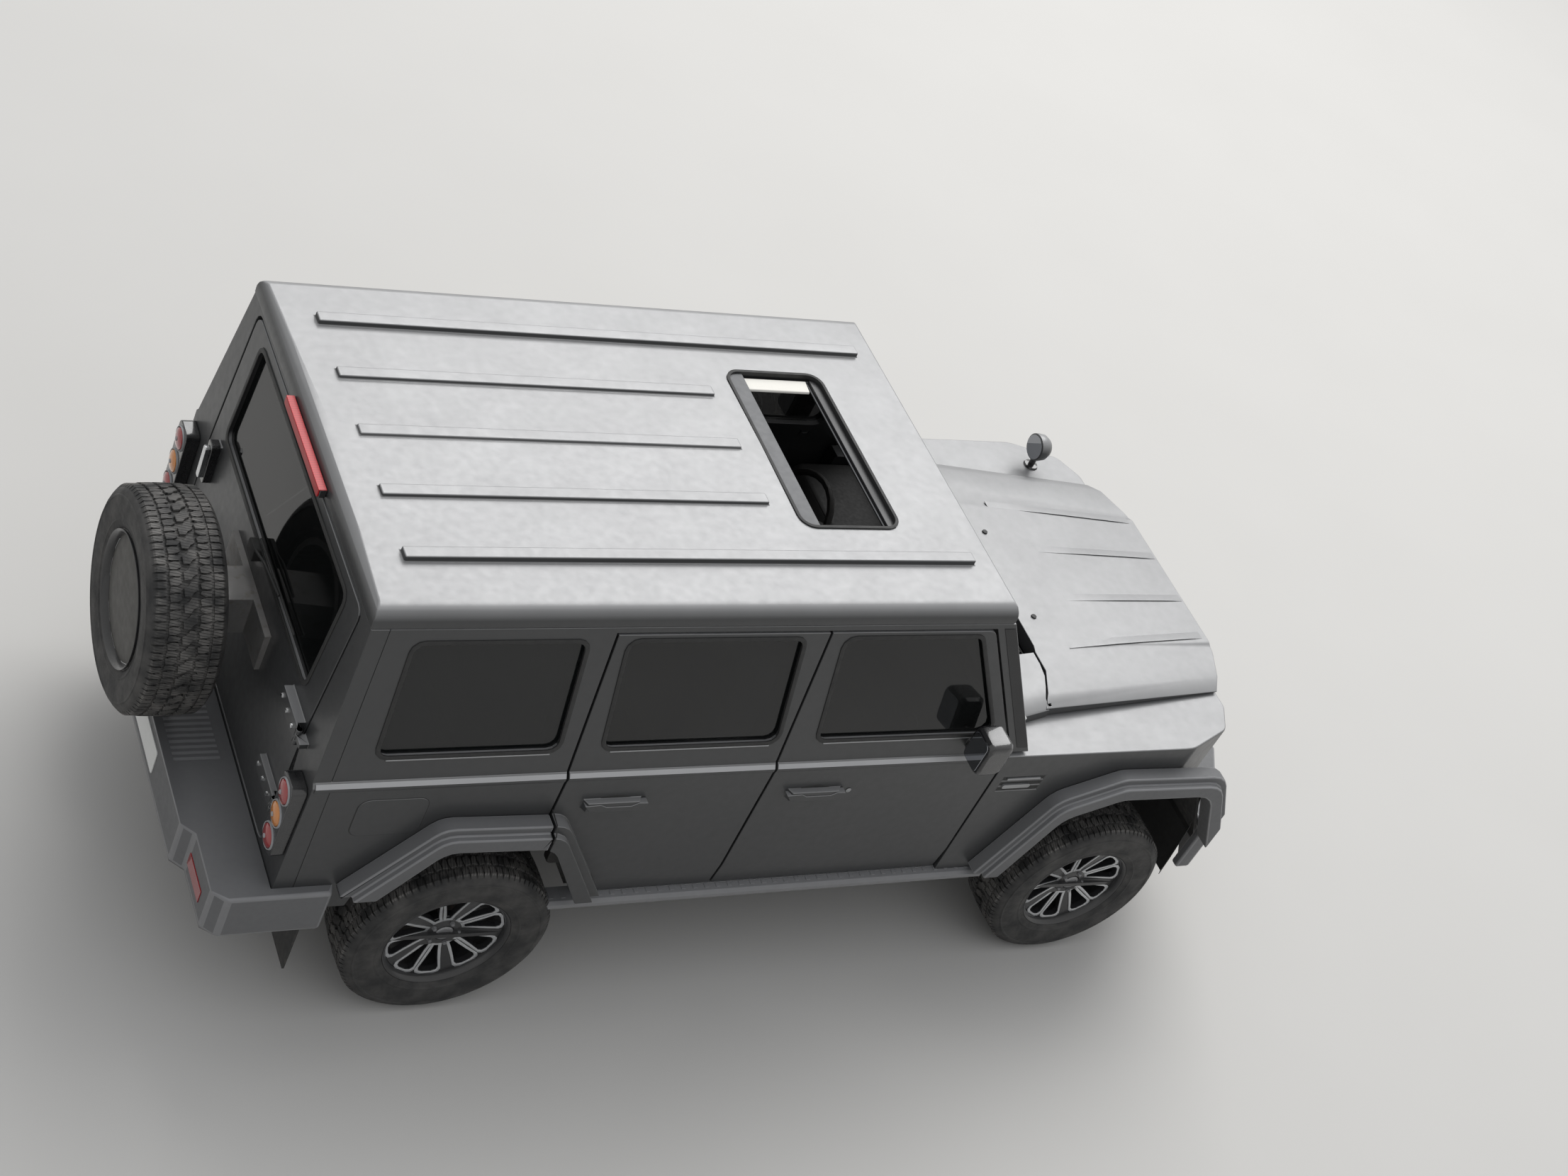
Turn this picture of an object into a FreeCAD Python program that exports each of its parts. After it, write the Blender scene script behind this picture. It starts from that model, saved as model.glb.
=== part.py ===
import FreeCAD, Part
import math
import os

V = FreeCAD.Vector

# Driving sizes of the vehicle, in millimetres. X points forward, Y to the vehicle's left, Z up.
# The origin is on the ground, midway along the overall length.
wheelbase = 2800.0
front_overhang = 815.0
rear_overhang = 1150.0
overall_height = 1985.0
body_half_width = 892.0
flare_proud = 85.0
tyre_diameter = 776.0
tyre_width = 265.0
rim_share = 0.6057

overall_length = rear_overhang + wheelbase + front_overhang
rear_axle_x = rear_overhang - overall_length / 2
front_axle_x = rear_axle_x + wheelbase
nose_x = front_axle_x + front_overhang
spare_back_x = rear_axle_x - rear_overhang

# Clearances shared by the pieces, and the length by which cutting shapes overrun.
seat_gap = 0.3
panel_gap = 9.0
door_stop = 7.0
overrun = 50.0

# Wheels, each standing inside the lip of its flare.
wheel_cover = 39.5
flare_half_width = body_half_width + flare_proud
tyre_radius = tyre_diameter / 2
rim_radius = tyre_radius * rim_share
hub_z = tyre_radius
wheel_y = flare_half_width - wheel_cover - tyre_width / 2
wheel_inner_y = wheel_y - tyre_width / 2

# Frame rails, which leave room inboard for the front wheels to steer and set the height of the floor.
steer_room = 232.5
rail_side_gap = 30.0
rail_width = 80.0
rail_height = 120.0
rail_over_hub = 52.0
rail_kick = 80.0
rail_nose_kick = 40.0
body_mount_height = 80.0
load_floor_rise = 126.0
floor_thickness = 24.0
front_cheek_y = wheel_inner_y - steer_room
rail_outer_y = front_cheek_y - rail_side_gap
rail_inner_y = rail_outer_y - rail_width
rail_middle_y = rail_outer_y - rail_width / 2
rail_low_z = hub_z + rail_over_hub
rail_rear_low_z = rail_low_z + rail_kick
rail_front_low_z = rail_low_z + rail_nose_kick
rail_front_top_z = rail_front_low_z + rail_height
floor_low_z = rail_low_z + rail_height + body_mount_height
floor_top_z = floor_low_z + floor_thickness
load_floor_low_z = floor_low_z + load_floor_rise

# Stations along the body, as distances ahead of the rear axle. Those at the front hang on the front axle.
spare_standoff = 180.0
cowl_setback = 790.0
screen_base_setback = 692.0
screen_top_setback = 1038.0
bonnet_rear_setback = 450.0
bonnet_corner_setback = 530.0
fender_front_reach = 415.0
pillar_gap_share = 0.4466
rear_ring_depth = 62.0
tail_station = tyre_width + spare_standoff - rear_overhang
quarter_gap_station = 185.0
cowl_gap_station = wheelbase - cowl_setback
pillar_gap_station = quarter_gap_station + pillar_gap_share * (cowl_gap_station - quarter_gap_station)
screen_base_station = wheelbase - screen_base_setback
screen_top_station = wheelbase - screen_top_setback
bonnet_rear_station = wheelbase - bonnet_rear_setback
bonnet_corner_station = wheelbase - bonnet_corner_setback
fender_front_station = wheelbase + fender_front_reach

# Heights of the body side. The upper ones hang from the roof.
roof_rise = 104.0
door_top_drop = 31.0
glass_top_drop = 55.0
sill_bottom_z = 520.0
door_bottom_z = 582.0
sill_kick_z = 700.0
crease_low_z = 1244.0
crease_z = 1262.0
glass_low_z = 1360.0
fender_top_z = 1250.0
rail_z = overall_height - roof_rise
door_top_z = rail_z - door_top_drop
glass_high_z = rail_z - glass_top_drop

# Half widths of the body side at those heights, and the wall behind the skin.
sill_tuck = 18.0
shoulder_tuck = 14.0
tumblehome = 96.0
lower_wall = 60.0
upper_wall = 42.0
pillar_depth = 70.0
rail_half_width = body_half_width - tumblehome
cabin_half_width = body_half_width - lower_wall - door_stop - pillar_depth

skin = [
    (sill_bottom_z, body_half_width - sill_tuck, lower_wall),
    (sill_kick_z, body_half_width, lower_wall),
    (crease_low_z, body_half_width, lower_wall),
    (crease_z, body_half_width - shoulder_tuck, upper_wall),
    (rail_z, rail_half_width, upper_wall),
]


def ahead(distance):
    """X of a station given as its distance ahead of the rear axle."""
    return rear_axle_x + distance


def skin_at(z, column):
    """Value of the body side's table at a height: column 1 is the half width, 2 is the wall."""
    low, high = skin[-2], skin[-1]
    for row, following in zip(skin, skin[1:]):
        if z <= following[0]:
            low, high = row, following
            break
    share = (z - low[0]) / (high[0] - low[0])
    return low[column] + share * (high[column] - low[column])


def outer_y(z):
    return skin_at(z, 1)


def inner_y(z):
    return skin_at(z, 1) - skin_at(z, 2)


def deep_y(z):
    """Inboard face of the inner pillars at a height."""
    return outer_y(z) - lower_wall - door_stop - pillar_depth


# Round corners, bars and wheels are made in flats, which keeps every piece light.
corner_flats = 3
bar_sides = 10


def rounded(points):
    """Corners of an outline through (a, b) or (a, b, corner radius), with each round corner in flats."""
    corners = []
    count = len(points)
    for index, point in enumerate(points):
        here = V(point[0], point[1], 0)
        if not point[2:] or not point[2]:
            corners.append(here)
            continue
        back = points[index - 1]
        front = points[(index + 1) % count]
        to_back = (V(back[0], back[1], 0) - here).normalize()
        to_front = (V(front[0], front[1], 0) - here).normalize()
        half = to_back.getAngle(to_front) / 2
        centre = here + (to_back + to_front).normalize() * (point[2] / math.sin(half))
        reach = point[2] / math.tan(half)
        start = here + to_back * reach - centre
        end = here + to_front * reach - centre
        turn = math.pi - 2 * half
        for step in range(corner_flats + 1):
            share = step / corner_flats
            spoke = start * math.sin((1 - share) * turn) + end * math.sin(share * turn)
            corners.append(centre + spoke * (1 / math.sin(turn)))
    return corners


def polygon_face(points):
    return Part.Face(Part.makePolygon(points + points[:1]))


def prism_x(points, x_low, x_high):
    """Outline in Y and Z drawn out along X."""
    face = polygon_face([V(x_low, p.x, p.y) for p in rounded(points)])
    return face.extrude(V(x_high - x_low, 0, 0))


def prism_y(points, y_low, y_high):
    """Outline in X and Z drawn out along Y."""
    face = polygon_face([V(p.x, y_low, p.y) for p in rounded(points)])
    return face.extrude(V(0, y_high - y_low, 0))


def prism_z(points, z_low, z_high):
    """Outline in X and Y drawn out along Z."""
    face = polygon_face([V(p.x, p.y, z_low) for p in rounded(points)])
    return face.extrude(V(0, 0, z_high - z_low))


def block(x_low, x_high, y_low, y_high, z_low, z_high):
    return Part.makeBox(x_high - x_low, y_high - y_low, z_high - z_low, V(x_low, y_low, z_low))


def rod(start, end, radius):
    return Part.makeCylinder(radius, (end - start).Length, start, end - start)


def rod_y(x, y_low, y_high, z, radius):
    return rod(V(x, y_low, z), V(x, y_high, z), radius)


def rod_z(x, y, z_low, z_high, radius):
    return rod(V(x, y, z_low), V(x, y, z_high), radius)


def sewn(faces):
    """Solid inside a closed set of flat faces."""
    shell = Part.Shell(faces)
    shell.sewShape()
    solid = Part.Solid(shell)
    if solid.Volume < 0:
        solid.reverse()
    return solid.removeSplitter()


def ring_of_flats(profile, sides):
    """Form about the Y axis at the origin: a section of (radius, distance along Y), carried round by flats.

    A flat lies straight below the axis, at the full radius of each point.
    """
    stretch = 1 / math.cos(math.pi / sides)

    def corner(point, index):
        angle = math.pi * (2 * index + 1) / sides
        radius = point[0] * stretch
        return V(radius * math.sin(angle), point[1], -radius * math.cos(angle))

    faces = []
    for index in range(sides):
        for near, far in zip(profile, profile[1:] + profile[:1]):
            quad = [corner(near, index), corner(far, index), corner(far, index + 1), corner(near, index + 1)]
            corners = [point for place, point in enumerate(quad) if (point - quad[place - 1]).Length > 0]
            if len(corners) > 2:
                faces.append(polygon_face(corners))
    return sewn(faces)


def through(sections):
    """Solid through outlines with equal numbers of corners, joined by flat sides."""
    faces = [polygon_face(sections[0]), polygon_face(sections[-1])]
    for first, last in zip(sections, sections[1:]):
        for index in range(len(first)):
            faces.append(polygon_face([first[index - 1], first[index], last[index], last[index - 1]]))
    return sewn(faces)


def bar(route, radius, end_radius=None):
    """Round bar in flats through points that lie in one upright plane, with its own radius at the far end."""
    runs = [(end - start).normalize() for start, end in zip(route, route[1:])]
    side = V(0, 0, 1).cross(runs[-1])
    if side.Length < seat_gap:
        side = V(1, 0, 0)
    side.normalize()
    radii = [radius] * (len(route) - 1) + [end_radius or radius]
    sections = []
    for index, point in enumerate(route):
        back, front = runs[max(index - 1, 0)], runs[min(index, len(runs) - 1)]
        along = (back + front).normalize()
        lift = along.cross(side) * (1 / along.dot(front))
        section = []
        for corner in range(bar_sides):
            angle = math.pi * (2 * corner + 1) / bar_sides
            section.append(point + (side * math.cos(angle) + lift * math.sin(angle)) * radii[index])
        sections.append(section)
    return through(sections)


def bar_y(x, y_low, y_high, z, radius):
    return bar([V(x, y_low, z), V(x, y_high, z)], radius)


def bar_z(x, y, z_low, z_high, radius):
    return bar([V(x, y, z_low), V(x, y, z_high)], radius)


def fused(shapes):
    solid = shapes[0]
    for shape in shapes[1:]:
        solid = solid.fuse(shape)
    return solid.removeSplitter()


def mirrored(shape):
    return shape.mirror(V(0, 0, 0), V(0, 1, 0))


def both_sides(shape):
    return [shape, mirrored(shape)]


def cut_both(shape, tool):
    """Cut a shape with a tool on the left side and with its mirror image on the right."""
    return shape.cut(tool).cut(mirrored(tool))


def save(name, shapes):
    """Write one sub-part, of one or more solids, to its own file."""
    solids = []
    for shape in shapes:
        solids.extend(shape.Solids)
    solid = solids[0] if len(solids) == 1 else Part.makeCompound(solids)
    solid.exportStep("parts/" + name + ".step")


def side_slab(x_low, x_high, z_low, z_high, depth_out, depth_in=None):
    """Slab of the body side between two heights, from one depth behind the skin to another or to the wall."""
    heights = [z_low] + [row[0] for row in skin if z_low < row[0] < z_high] + [z_high]
    outside = [(outer_y(z) - depth_out, z) for z in heights]
    if depth_in is None:
        inside = [(inner_y(z), z) for z in reversed(heights)]
    else:
        inside = [(outer_y(z) - depth_in, z) for z in reversed(heights)]
    return prism_x(outside + inside, x_low, x_high)


def screen_station(z):
    """Station of the windscreen plane at a height."""
    return screen_base_station - (screen_base_station - screen_top_station) * (z - crease_z) / (rail_z - crease_z)


# Slope of the tail above and below the crease.
tail_lean_top = 46.0
tail_lean_foot = 14.0
tail_foot_z = 600.0


def tail_x(z):
    """X of the rear face of the body at a height."""
    if z > crease_z:
        return ahead(tail_station + tail_lean_top * (z - crease_z) / (rail_z - crease_z))
    return ahead(tail_station - tail_lean_foot * (crease_z - z) / (crease_z - tail_foot_z))


ring_front_x = tail_x(tail_foot_z) + rear_ring_depth + tail_lean_foot

# Wheel openings in the body: rows of (ahead of the hub, above the hub, corner radius), in tyre radii.
rear_arch_shares = [(-1.22, -0.31, 0), (-1.07, 0.77, 0.155), (-0.49, 1.52, 0.23), (0.53, 1.48, 0.23), (1.21, 0.31, 0)]
front_arch_shares = [(-1.44, 0.41, 0), (-1.02, 1.44, 0.31), (-0.41, 1.70, 0.31), (0.77, 1.68, 0.31), (1.26, 0.77, 0)]
arch_foot_share = 0.77
rear_arch_back_station = rear_arch_shares[0][0] * tyre_radius


def arch_outline(shares, hub_x, grow=0):
    """Closed outline of a wheel opening, grown outwards by a margin and open below the body."""
    foot = hub_z - arch_foot_share * tyre_radius
    rows = []
    for along_share, up_share, corner_share in shares:
        along = along_share * tyre_radius
        up = up_share * tyre_radius
        factor = 1 + grow / math.hypot(along, up)
        rows.append((hub_x + along * factor, hub_z + up * factor, corner_share * tyre_radius))
    first = (hub_x + shares[0][0] * tyre_radius - grow, foot)
    last = (hub_x + shares[-1][0] * tyre_radius + grow, foot)
    return [first] + rows + [last]


# Doors. Outlines run round the panel in X and Z.
door_corner = 40.0
frame_width = 62.0
pillar_width = 92.0
window_corner = 38.0
window_lean = 31.0
glass_depth = 14.0
glass_thickness = 5.0


def front_door_outline():
    rear = ahead(pillar_gap_station) + panel_gap / 2
    front = ahead(cowl_gap_station) - panel_gap / 2
    return [
        (rear, door_bottom_z),
        (front, door_bottom_z),
        (front, crease_z),
        (ahead(screen_station(crease_z) - pillar_width), crease_z),
        (ahead(screen_station(door_top_z) - pillar_width), door_top_z, door_corner),
        (rear, door_top_z),
    ]


def rear_door_outline():
    rear = ahead(quarter_gap_station) + panel_gap / 2
    front = ahead(pillar_gap_station) - panel_gap / 2
    return [(rear, door_bottom_z), (front, door_bottom_z), (front, door_top_z), (rear, door_top_z)]


def front_window(shrink=0):
    rear = ahead(pillar_gap_station) + panel_gap / 2 + frame_width + shrink
    slope_low = ahead(screen_station(glass_low_z) - pillar_width) - frame_width - shrink
    slope_high = ahead(screen_station(glass_high_z) - pillar_width) - frame_width - shrink
    return [
        (rear + frame_width, glass_low_z + shrink, window_corner),
        (slope_low, glass_low_z + shrink, window_corner),
        (slope_high, glass_high_z - shrink, window_corner),
        (rear, glass_high_z - shrink, window_corner),
    ]


def rear_window(shrink=0):
    rear = ahead(quarter_gap_station) + panel_gap / 2 + frame_width + shrink
    front = ahead(pillar_gap_station) - panel_gap / 2 - frame_width - shrink
    return [
        (rear + window_lean, glass_low_z + shrink, window_corner),
        (front + window_lean, glass_low_z + shrink, window_corner),
        (front - window_lean, glass_high_z - shrink, window_corner),
        (rear - window_lean / 2, glass_high_z - shrink, window_corner),
    ]


def door_panel(outline, window):
    slab = side_slab(ahead(tail_station), nose_x, door_bottom_z, door_top_z, 0)
    panel = slab.common(prism_y(outline, 0, flare_half_width))
    return panel.cut(prism_y(window, 0, flare_half_width))


def pane(window, x_low, x_high):
    slab = side_slab(x_low, x_high, crease_low_z, rail_z, glass_depth, glass_depth + glass_thickness)
    return slab.common(prism_y(window, 0, flare_half_width))


# Door hinges: arms on the pillar, each with a pin that points up into a bore of the door it carries.
hinge_inset = 12.0
hinge_depth = 10.0
hinge_arm_half = 5.0
hinge_tip_half = 1.7
hinge_arm_height = 34.0
hinge_pin_radius = 4.0
hinge_bore_radius = 4.3
hinge_pin_length = 40.0
hinge_heights = [760.0, 1130.0]
pocket_skin = 3.5
pocket_gap = 6.0


def hinge_x(gap_station):
    """X of the hinge axis of the door whose front edge lies at a gap."""
    return ahead(gap_station) - panel_gap / 2 - hinge_inset


def hinge_arms(gap_station):
    x = hinge_x(gap_station)
    y = body_half_width - hinge_depth
    root_y = body_half_width - lower_wall - door_stop - pillar_depth / 2
    arms = []
    half, tip = hinge_arm_half, hinge_tip_half
    outline = [(x - half, root_y), (x + half, root_y), (x + half, y), (x + tip, y + half - seat_gap),
               (x - tip, y + half - seat_gap), (x - half, y)]
    for z in hinge_heights:
        high = z + hinge_arm_height / 2
        arms.append(prism_z(outline, z - hinge_arm_height / 2, high))
        arms.append(rod_z(x, y, high, high + hinge_pin_length, hinge_pin_radius))
    return arms


def pocketed(panel, gap_station):
    """Door panel with a pocket for each hinge arm, and a bore above it for the pin."""
    x = hinge_x(gap_station)
    half = hinge_arm_height / 2 + pocket_gap
    for z in hinge_heights:
        pocket = block(x - hinge_arm_half - pocket_gap, x + overrun, 0, body_half_width - pocket_skin,
                       z - half, z + half)
        bore = rod_z(x, body_half_width - hinge_depth, z, z + half + hinge_pin_length, hinge_bore_radius)
        panel = panel.cut(pocket).cut(bore)
    return panel


# Door handles.
handle_length = 245.0
handle_height = 44.0
handle_proud = 24.0
handle_z = 1106.0
handle_inset = 88.0


def door_handle(rear_x):
    return prism_z(
        [
            (rear_x, body_half_width - handle_proud),
            (rear_x + handle_length, body_half_width - handle_proud),
            (rear_x + handle_length - handle_proud, body_half_width + handle_proud),
            (rear_x + handle_proud, body_half_width + handle_proud),
        ],
        handle_z - handle_height / 2,
        handle_z + handle_height / 2,
    )


# Door mirrors, one on each front door.
mirror_setback = 345.0
mirror_low_z = 1306.0
mirror_high_z = 1462.0
mirror_gap = 8.0
mirror_width = 122.0
mirror_depth = 105.0
mirror_corner = 24.0
mirror_arm_radius = 22.0


def door_mirror():
    x = ahead(screen_base_station - mirror_setback)
    inner = body_half_width + mirror_gap
    outer = inner + mirror_width
    shell = prism_x(
        [
            (inner + mirror_corner, mirror_low_z),
            (outer - mirror_corner, mirror_low_z),
            (outer, mirror_low_z + mirror_corner),
            (outer, mirror_high_z - mirror_corner),
            (outer - mirror_corner, mirror_high_z),
            (inner + mirror_corner, mirror_high_z),
            (inner, mirror_high_z - mirror_corner),
        ],
        x,
        x + mirror_depth,
    )
    arm_z = mirror_low_z + mirror_corner
    arm = bar_y(x + mirror_depth / 2, inner_y(arm_z), inner + mirror_corner * 2, arm_z, mirror_arm_radius)
    return shell.fuse(arm)


def front_door():
    """Front door with its window frame, outside handle and mirror."""
    panel = pocketed(door_panel(front_door_outline(), front_window()), cowl_gap_station)
    return fused([panel, door_handle(ahead(pillar_gap_station) + handle_inset), door_mirror()])


# Wheel flares stand out from the body side round each wheel opening.
flare_band = 100.0
flare_lip = 26.0
flare_lip_share = 0.66
flare_rear_foot_rise = 252.0
flare_front_foot_rise = 212.0


def flare(shares, hub_x):
    """Band of trim round a wheel opening, from the skin out to its lip."""
    inside = arch_outline(shares, hub_x)
    root = prism_y(arch_outline(shares, hub_x, flare_band), body_half_width, flare_half_width - flare_lip)
    lip = prism_y(arch_outline(shares, hub_x, flare_band * flare_lip_share), body_half_width, flare_half_width)
    return root.fuse(lip).cut(prism_y(inside, 0, flare_half_width + overrun)).removeSplitter()


def flare_between(band, x_low, x_high, z_low):
    return band.common(block(x_low, x_high, 0, flare_half_width + overrun, z_low, overall_height))


def rear_flare():
    return flare_between(flare(rear_arch_shares, rear_axle_x), spare_back_x, nose_x, hub_z + flare_rear_foot_rise)


def front_flare():
    end = front_axle_x + front_arch_shares[-1][0] * tyre_radius
    return flare_between(flare(front_arch_shares, front_axle_x), spare_back_x, end, hub_z + flare_front_foot_rise)


def rear_door():
    """Rear door, cut away at the wheel opening, with its handle and its piece of the wheel flare."""
    panel = pocketed(door_panel(rear_door_outline(), rear_window()), pillar_gap_station)
    panel = panel.cut(prism_y(arch_outline(rear_arch_shares, rear_axle_x), 0, flare_half_width))
    edge = ahead(quarter_gap_station) + panel_gap / 2
    carried = flare_between(rear_flare(), edge, nose_x, door_bottom_z)
    return fused([panel, door_handle(ahead(quarter_gap_station) + handle_inset), carried])


# Body sides: sill, pillars, roof rail and quarter panel, open for two doors and a window.
inner_pillar = 46.0
screen_pillar_depth = 84.0
quarter_window_inset = 185.0
quarter_window_lean = 30.0


def quarter_window(shrink=0):
    rear = ahead(tail_station) + quarter_window_inset + shrink
    front = ahead(quarter_gap_station) - panel_gap / 2 - frame_width - shrink
    return [
        (rear, glass_low_z + shrink, window_corner),
        (front, glass_low_z + shrink, window_corner),
        (front - quarter_window_lean, glass_high_z - shrink, window_corner),
        (rear + quarter_window_lean / 2, glass_high_z - shrink, window_corner),
    ]


def body_side():
    quarter_edge = ahead(quarter_gap_station) - panel_gap / 2
    cowl_edge = ahead(cowl_gap_station) + panel_gap / 2
    behind = lower_wall + door_stop
    deep = behind + pillar_depth
    outline = [
        (ring_front_x, tail_foot_z),
        (quarter_edge, tail_foot_z),
        (quarter_edge, rail_z),
        (ring_front_x + tail_lean_top, rail_z),
        (ring_front_x, crease_z),
    ]
    quarter = side_slab(ring_front_x, quarter_edge, tail_foot_z, rail_z, 0)
    quarter = quarter.common(prism_y(outline, 0, flare_half_width))
    quarter = quarter.cut(prism_y(quarter_window(), 0, flare_half_width))
    sill = side_slab(quarter_edge, cowl_edge, sill_bottom_z, door_bottom_z - panel_gap, 0, deep)
    step = side_slab(quarter_edge, cowl_edge, sill_bottom_z, floor_top_z, behind, deep)
    rail_front = ahead(screen_station(rail_z))
    rail = side_slab(quarter_edge - overrun, rail_front - pillar_width / 2, door_top_z + panel_gap, rail_z, 0, deep)
    pillar_low = ahead(screen_station(crease_z))
    pillar_outline = [
        (pillar_low - pillar_width + panel_gap, crease_z),
        (pillar_low, crease_z),
        (rail_front, rail_z),
        (rail_front - pillar_width + panel_gap, rail_z),
    ]
    screen_pillar = side_slab(rail_front - pillar_width, pillar_low, crease_z, rail_z, 0, screen_pillar_depth)
    screen_pillar = screen_pillar.common(prism_y(pillar_outline, 0, flare_half_width))
    pieces = [quarter, sill, step, rail, screen_pillar]
    for station in (pillar_gap_station, quarter_gap_station - inner_pillar / 2):
        x_low = ahead(station) - inner_pillar
        x_high = ahead(station) + inner_pillar
        pieces.append(side_slab(x_low, x_high, sill_bottom_z, rail_z, behind, deep))
    hinge_low = ahead(cowl_gap_station) - inner_pillar
    pieces.append(side_slab(hinge_low, pillar_low, sill_bottom_z, crease_z, behind, deep))
    pieces.extend(hinge_arms(cowl_gap_station) + hinge_arms(pillar_gap_station))
    side = fused(pieces)
    return side.cut(prism_y(arch_outline(rear_arch_shares, rear_axle_x), 0, flare_half_width))


# Tailgate opening, and the tailgate's outlines.
tailgate_inset = 192.0
tailgate_glass_inset = 112.0
tailgate_low_z = 760.0
tailgate_top_drop = 23.0
tailgate_corner = 40.0
tailgate_glass_rise = 32.0
tailgate_glass_top_drop = 69.0
tailgate_wall = 55.0
tailgate_half_width = body_half_width - tailgate_inset
tailgate_high_z = rail_z - tailgate_top_drop


def full_section(z_low, z_high):
    heights = [z_low] + [row[0] for row in skin if z_low < row[0] < z_high] + [z_high]
    left = [(outer_y(z), z) for z in heights]
    right = [(-outer_y(z), z) for z in reversed(heights)]
    return left + right


def tail_profile(depth_out, depth_in, z_low, z_high):
    """Outline in X and Z that follows the leaning tail between two depths."""
    heights = [z_low, crease_z, z_high]
    outside = [(tail_x(z) + depth_out, z) for z in heights]
    inside = [(tail_x(z) + depth_in, z) for z in reversed(heights)]
    return outside + inside


def rounded_opening(half, low, high, corner):
    """Rectangle in Y and Z, even about the middle, with round corners."""
    return [(-half, low, corner), (half, low, corner), (half, high, corner), (-half, high, corner)]


def tailgate_outline(grow=0):
    low, high = tailgate_low_z - grow, tailgate_high_z + grow
    return rounded_opening(tailgate_half_width + grow, low, high, tailgate_corner)


def tailgate_window(shrink=0):
    low = glass_low_z + tailgate_glass_rise + shrink
    high = rail_z - tailgate_glass_top_drop - shrink
    return rounded_opening(tailgate_half_width - tailgate_glass_inset - shrink, low, high, window_corner)


# Tailgate hinges: straps on the tailgate and leaves on the body, round pins on the right.
tailgate_axis_out = 22.0
tailgate_axis_side = 14.0
barrel_radius = 11.0
tailgate_pin_radius = 6.0
tailgate_bore_radius = 6.3
strap_length = 190.0
strap_height = 66.0
strap_half_thickness = 6.0
leaf_length = 46.0
leaf_share = 0.33
barrel_gap = 1.5
strap_heights = [960.0, 1300.0]
tailgate_axis_x = tail_x(crease_z) - tailgate_axis_out
tailgate_axis_y = -(tailgate_half_width + tailgate_axis_side)


def tailgate_leaves():
    """Leaves on the body: the middle third of each barrel with its pin."""
    pieces = []
    half = strap_height * leaf_share / 2
    for z in strap_heights:
        low = z - half
        high = z + half
        pieces.append(bar_z(tailgate_axis_x, tailgate_axis_y, low, high, barrel_radius))
        pieces.append(rod_z(tailgate_axis_x, tailgate_axis_y, z - strap_height / 2, z + strap_height / 2,
                            tailgate_pin_radius))
        pieces.append(block(tailgate_axis_x - strap_half_thickness, tail_x(crease_z) + rear_ring_depth / 2,
                            tailgate_axis_y - leaf_length, tailgate_axis_y, low, high))
    return pieces


def tailgate_straps():
    """Straps on the tailgate: the outer thirds of each barrel, bored for the pin."""
    pieces = []
    half = strap_height * leaf_share / 2 + barrel_gap
    for z in strap_heights:
        low = z - strap_height / 2
        high = z + strap_height / 2
        root = block(tailgate_axis_x - strap_half_thickness, tail_x(crease_z) + tailgate_wall / 2,
                     -tailgate_half_width + tailgate_axis_side, tailgate_axis_y + strap_length, low, high)
        plate = block(tailgate_axis_x - strap_half_thickness, tailgate_axis_x + strap_half_thickness,
                      tailgate_axis_y, tailgate_axis_y + strap_length, low, high)
        strap = fused([root, plate, bar_z(tailgate_axis_x, tailgate_axis_y, low, high, barrel_radius)])
        reach = barrel_radius + panel_gap / 2
        notch = block(tailgate_axis_x - reach, tailgate_axis_x + reach, tailgate_axis_y - reach,
                      tailgate_axis_y + reach, z - half, z + half)
        bore = rod_z(tailgate_axis_x, tailgate_axis_y, low - overrun, high + overrun, tailgate_bore_radius)
        pieces.append(strap.cut(notch).cut(bore))
    return pieces


# Rear body frame round the tailgate, with its hinge leaves.
def rear_frame():
    low_x = tail_x(tail_foot_z)
    high_x = ring_front_x + tail_lean_top
    ring = prism_x(full_section(tail_foot_z, rail_z), low_x - overrun, high_x + overrun)
    heights = [tail_foot_z, crease_z, rail_z]
    front_x = [ring_front_x - seat_gap, ring_front_x - seat_gap, high_x - seat_gap]
    outline = [(tail_x(z), z) for z in heights] + list(zip(reversed(front_x), reversed(heights)))
    ring = ring.common(prism_y(outline, -flare_half_width, flare_half_width))
    rails = block(low_x - overrun, high_x + overrun, -rail_outer_y - seat_gap, rail_outer_y + seat_gap,
                  0, rail_rear_low_z + rail_height + seat_gap)
    ring = ring.cut(prism_x(tailgate_outline(panel_gap), low_x - overrun, high_x + overrun)).cut(rails)
    ring = cut_both(ring, prism_y(arch_outline(rear_arch_shares, rear_axle_x), 0, flare_half_width))
    return fused([ring] + tailgate_leaves())


# Tailgate, hinged on the right, with its handle on the left and its window.
latch_width = 46.0
latch_height = 170.0
latch_inset = 100.0
latch_proud = 30.0


def tailgate():
    slab = prism_y(tail_profile(0, tailgate_wall, tailgate_low_z, tailgate_high_z),
                   -tailgate_half_width, tailgate_half_width)
    span = (tail_x(tail_foot_z) - overrun, tail_x(rail_z) + rear_ring_depth + overrun)
    panel = slab.common(prism_x(tailgate_outline(), *span))
    panel = panel.cut(prism_x(tailgate_window(), *span))
    latch_y = tailgate_half_width - latch_inset
    latch = block(tail_x(crease_z) - latch_proud, tail_x(crease_z) + tailgate_wall / 2, latch_y - latch_width / 2,
                  latch_y + latch_width / 2, crease_z - latch_height / 2, crease_z + latch_height / 2)
    return fused([panel, latch] + tailgate_straps())


def tailgate_glass():
    slab = prism_y(tail_profile(glass_depth, glass_depth + glass_thickness, tailgate_low_z, tailgate_high_z),
                   -tailgate_half_width, tailgate_half_width)
    span = (tail_x(tail_foot_z) - overrun, tail_x(rail_z) + rear_ring_depth + overrun)
    return slab.common(prism_x(tailgate_window(seat_gap), *span))


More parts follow.
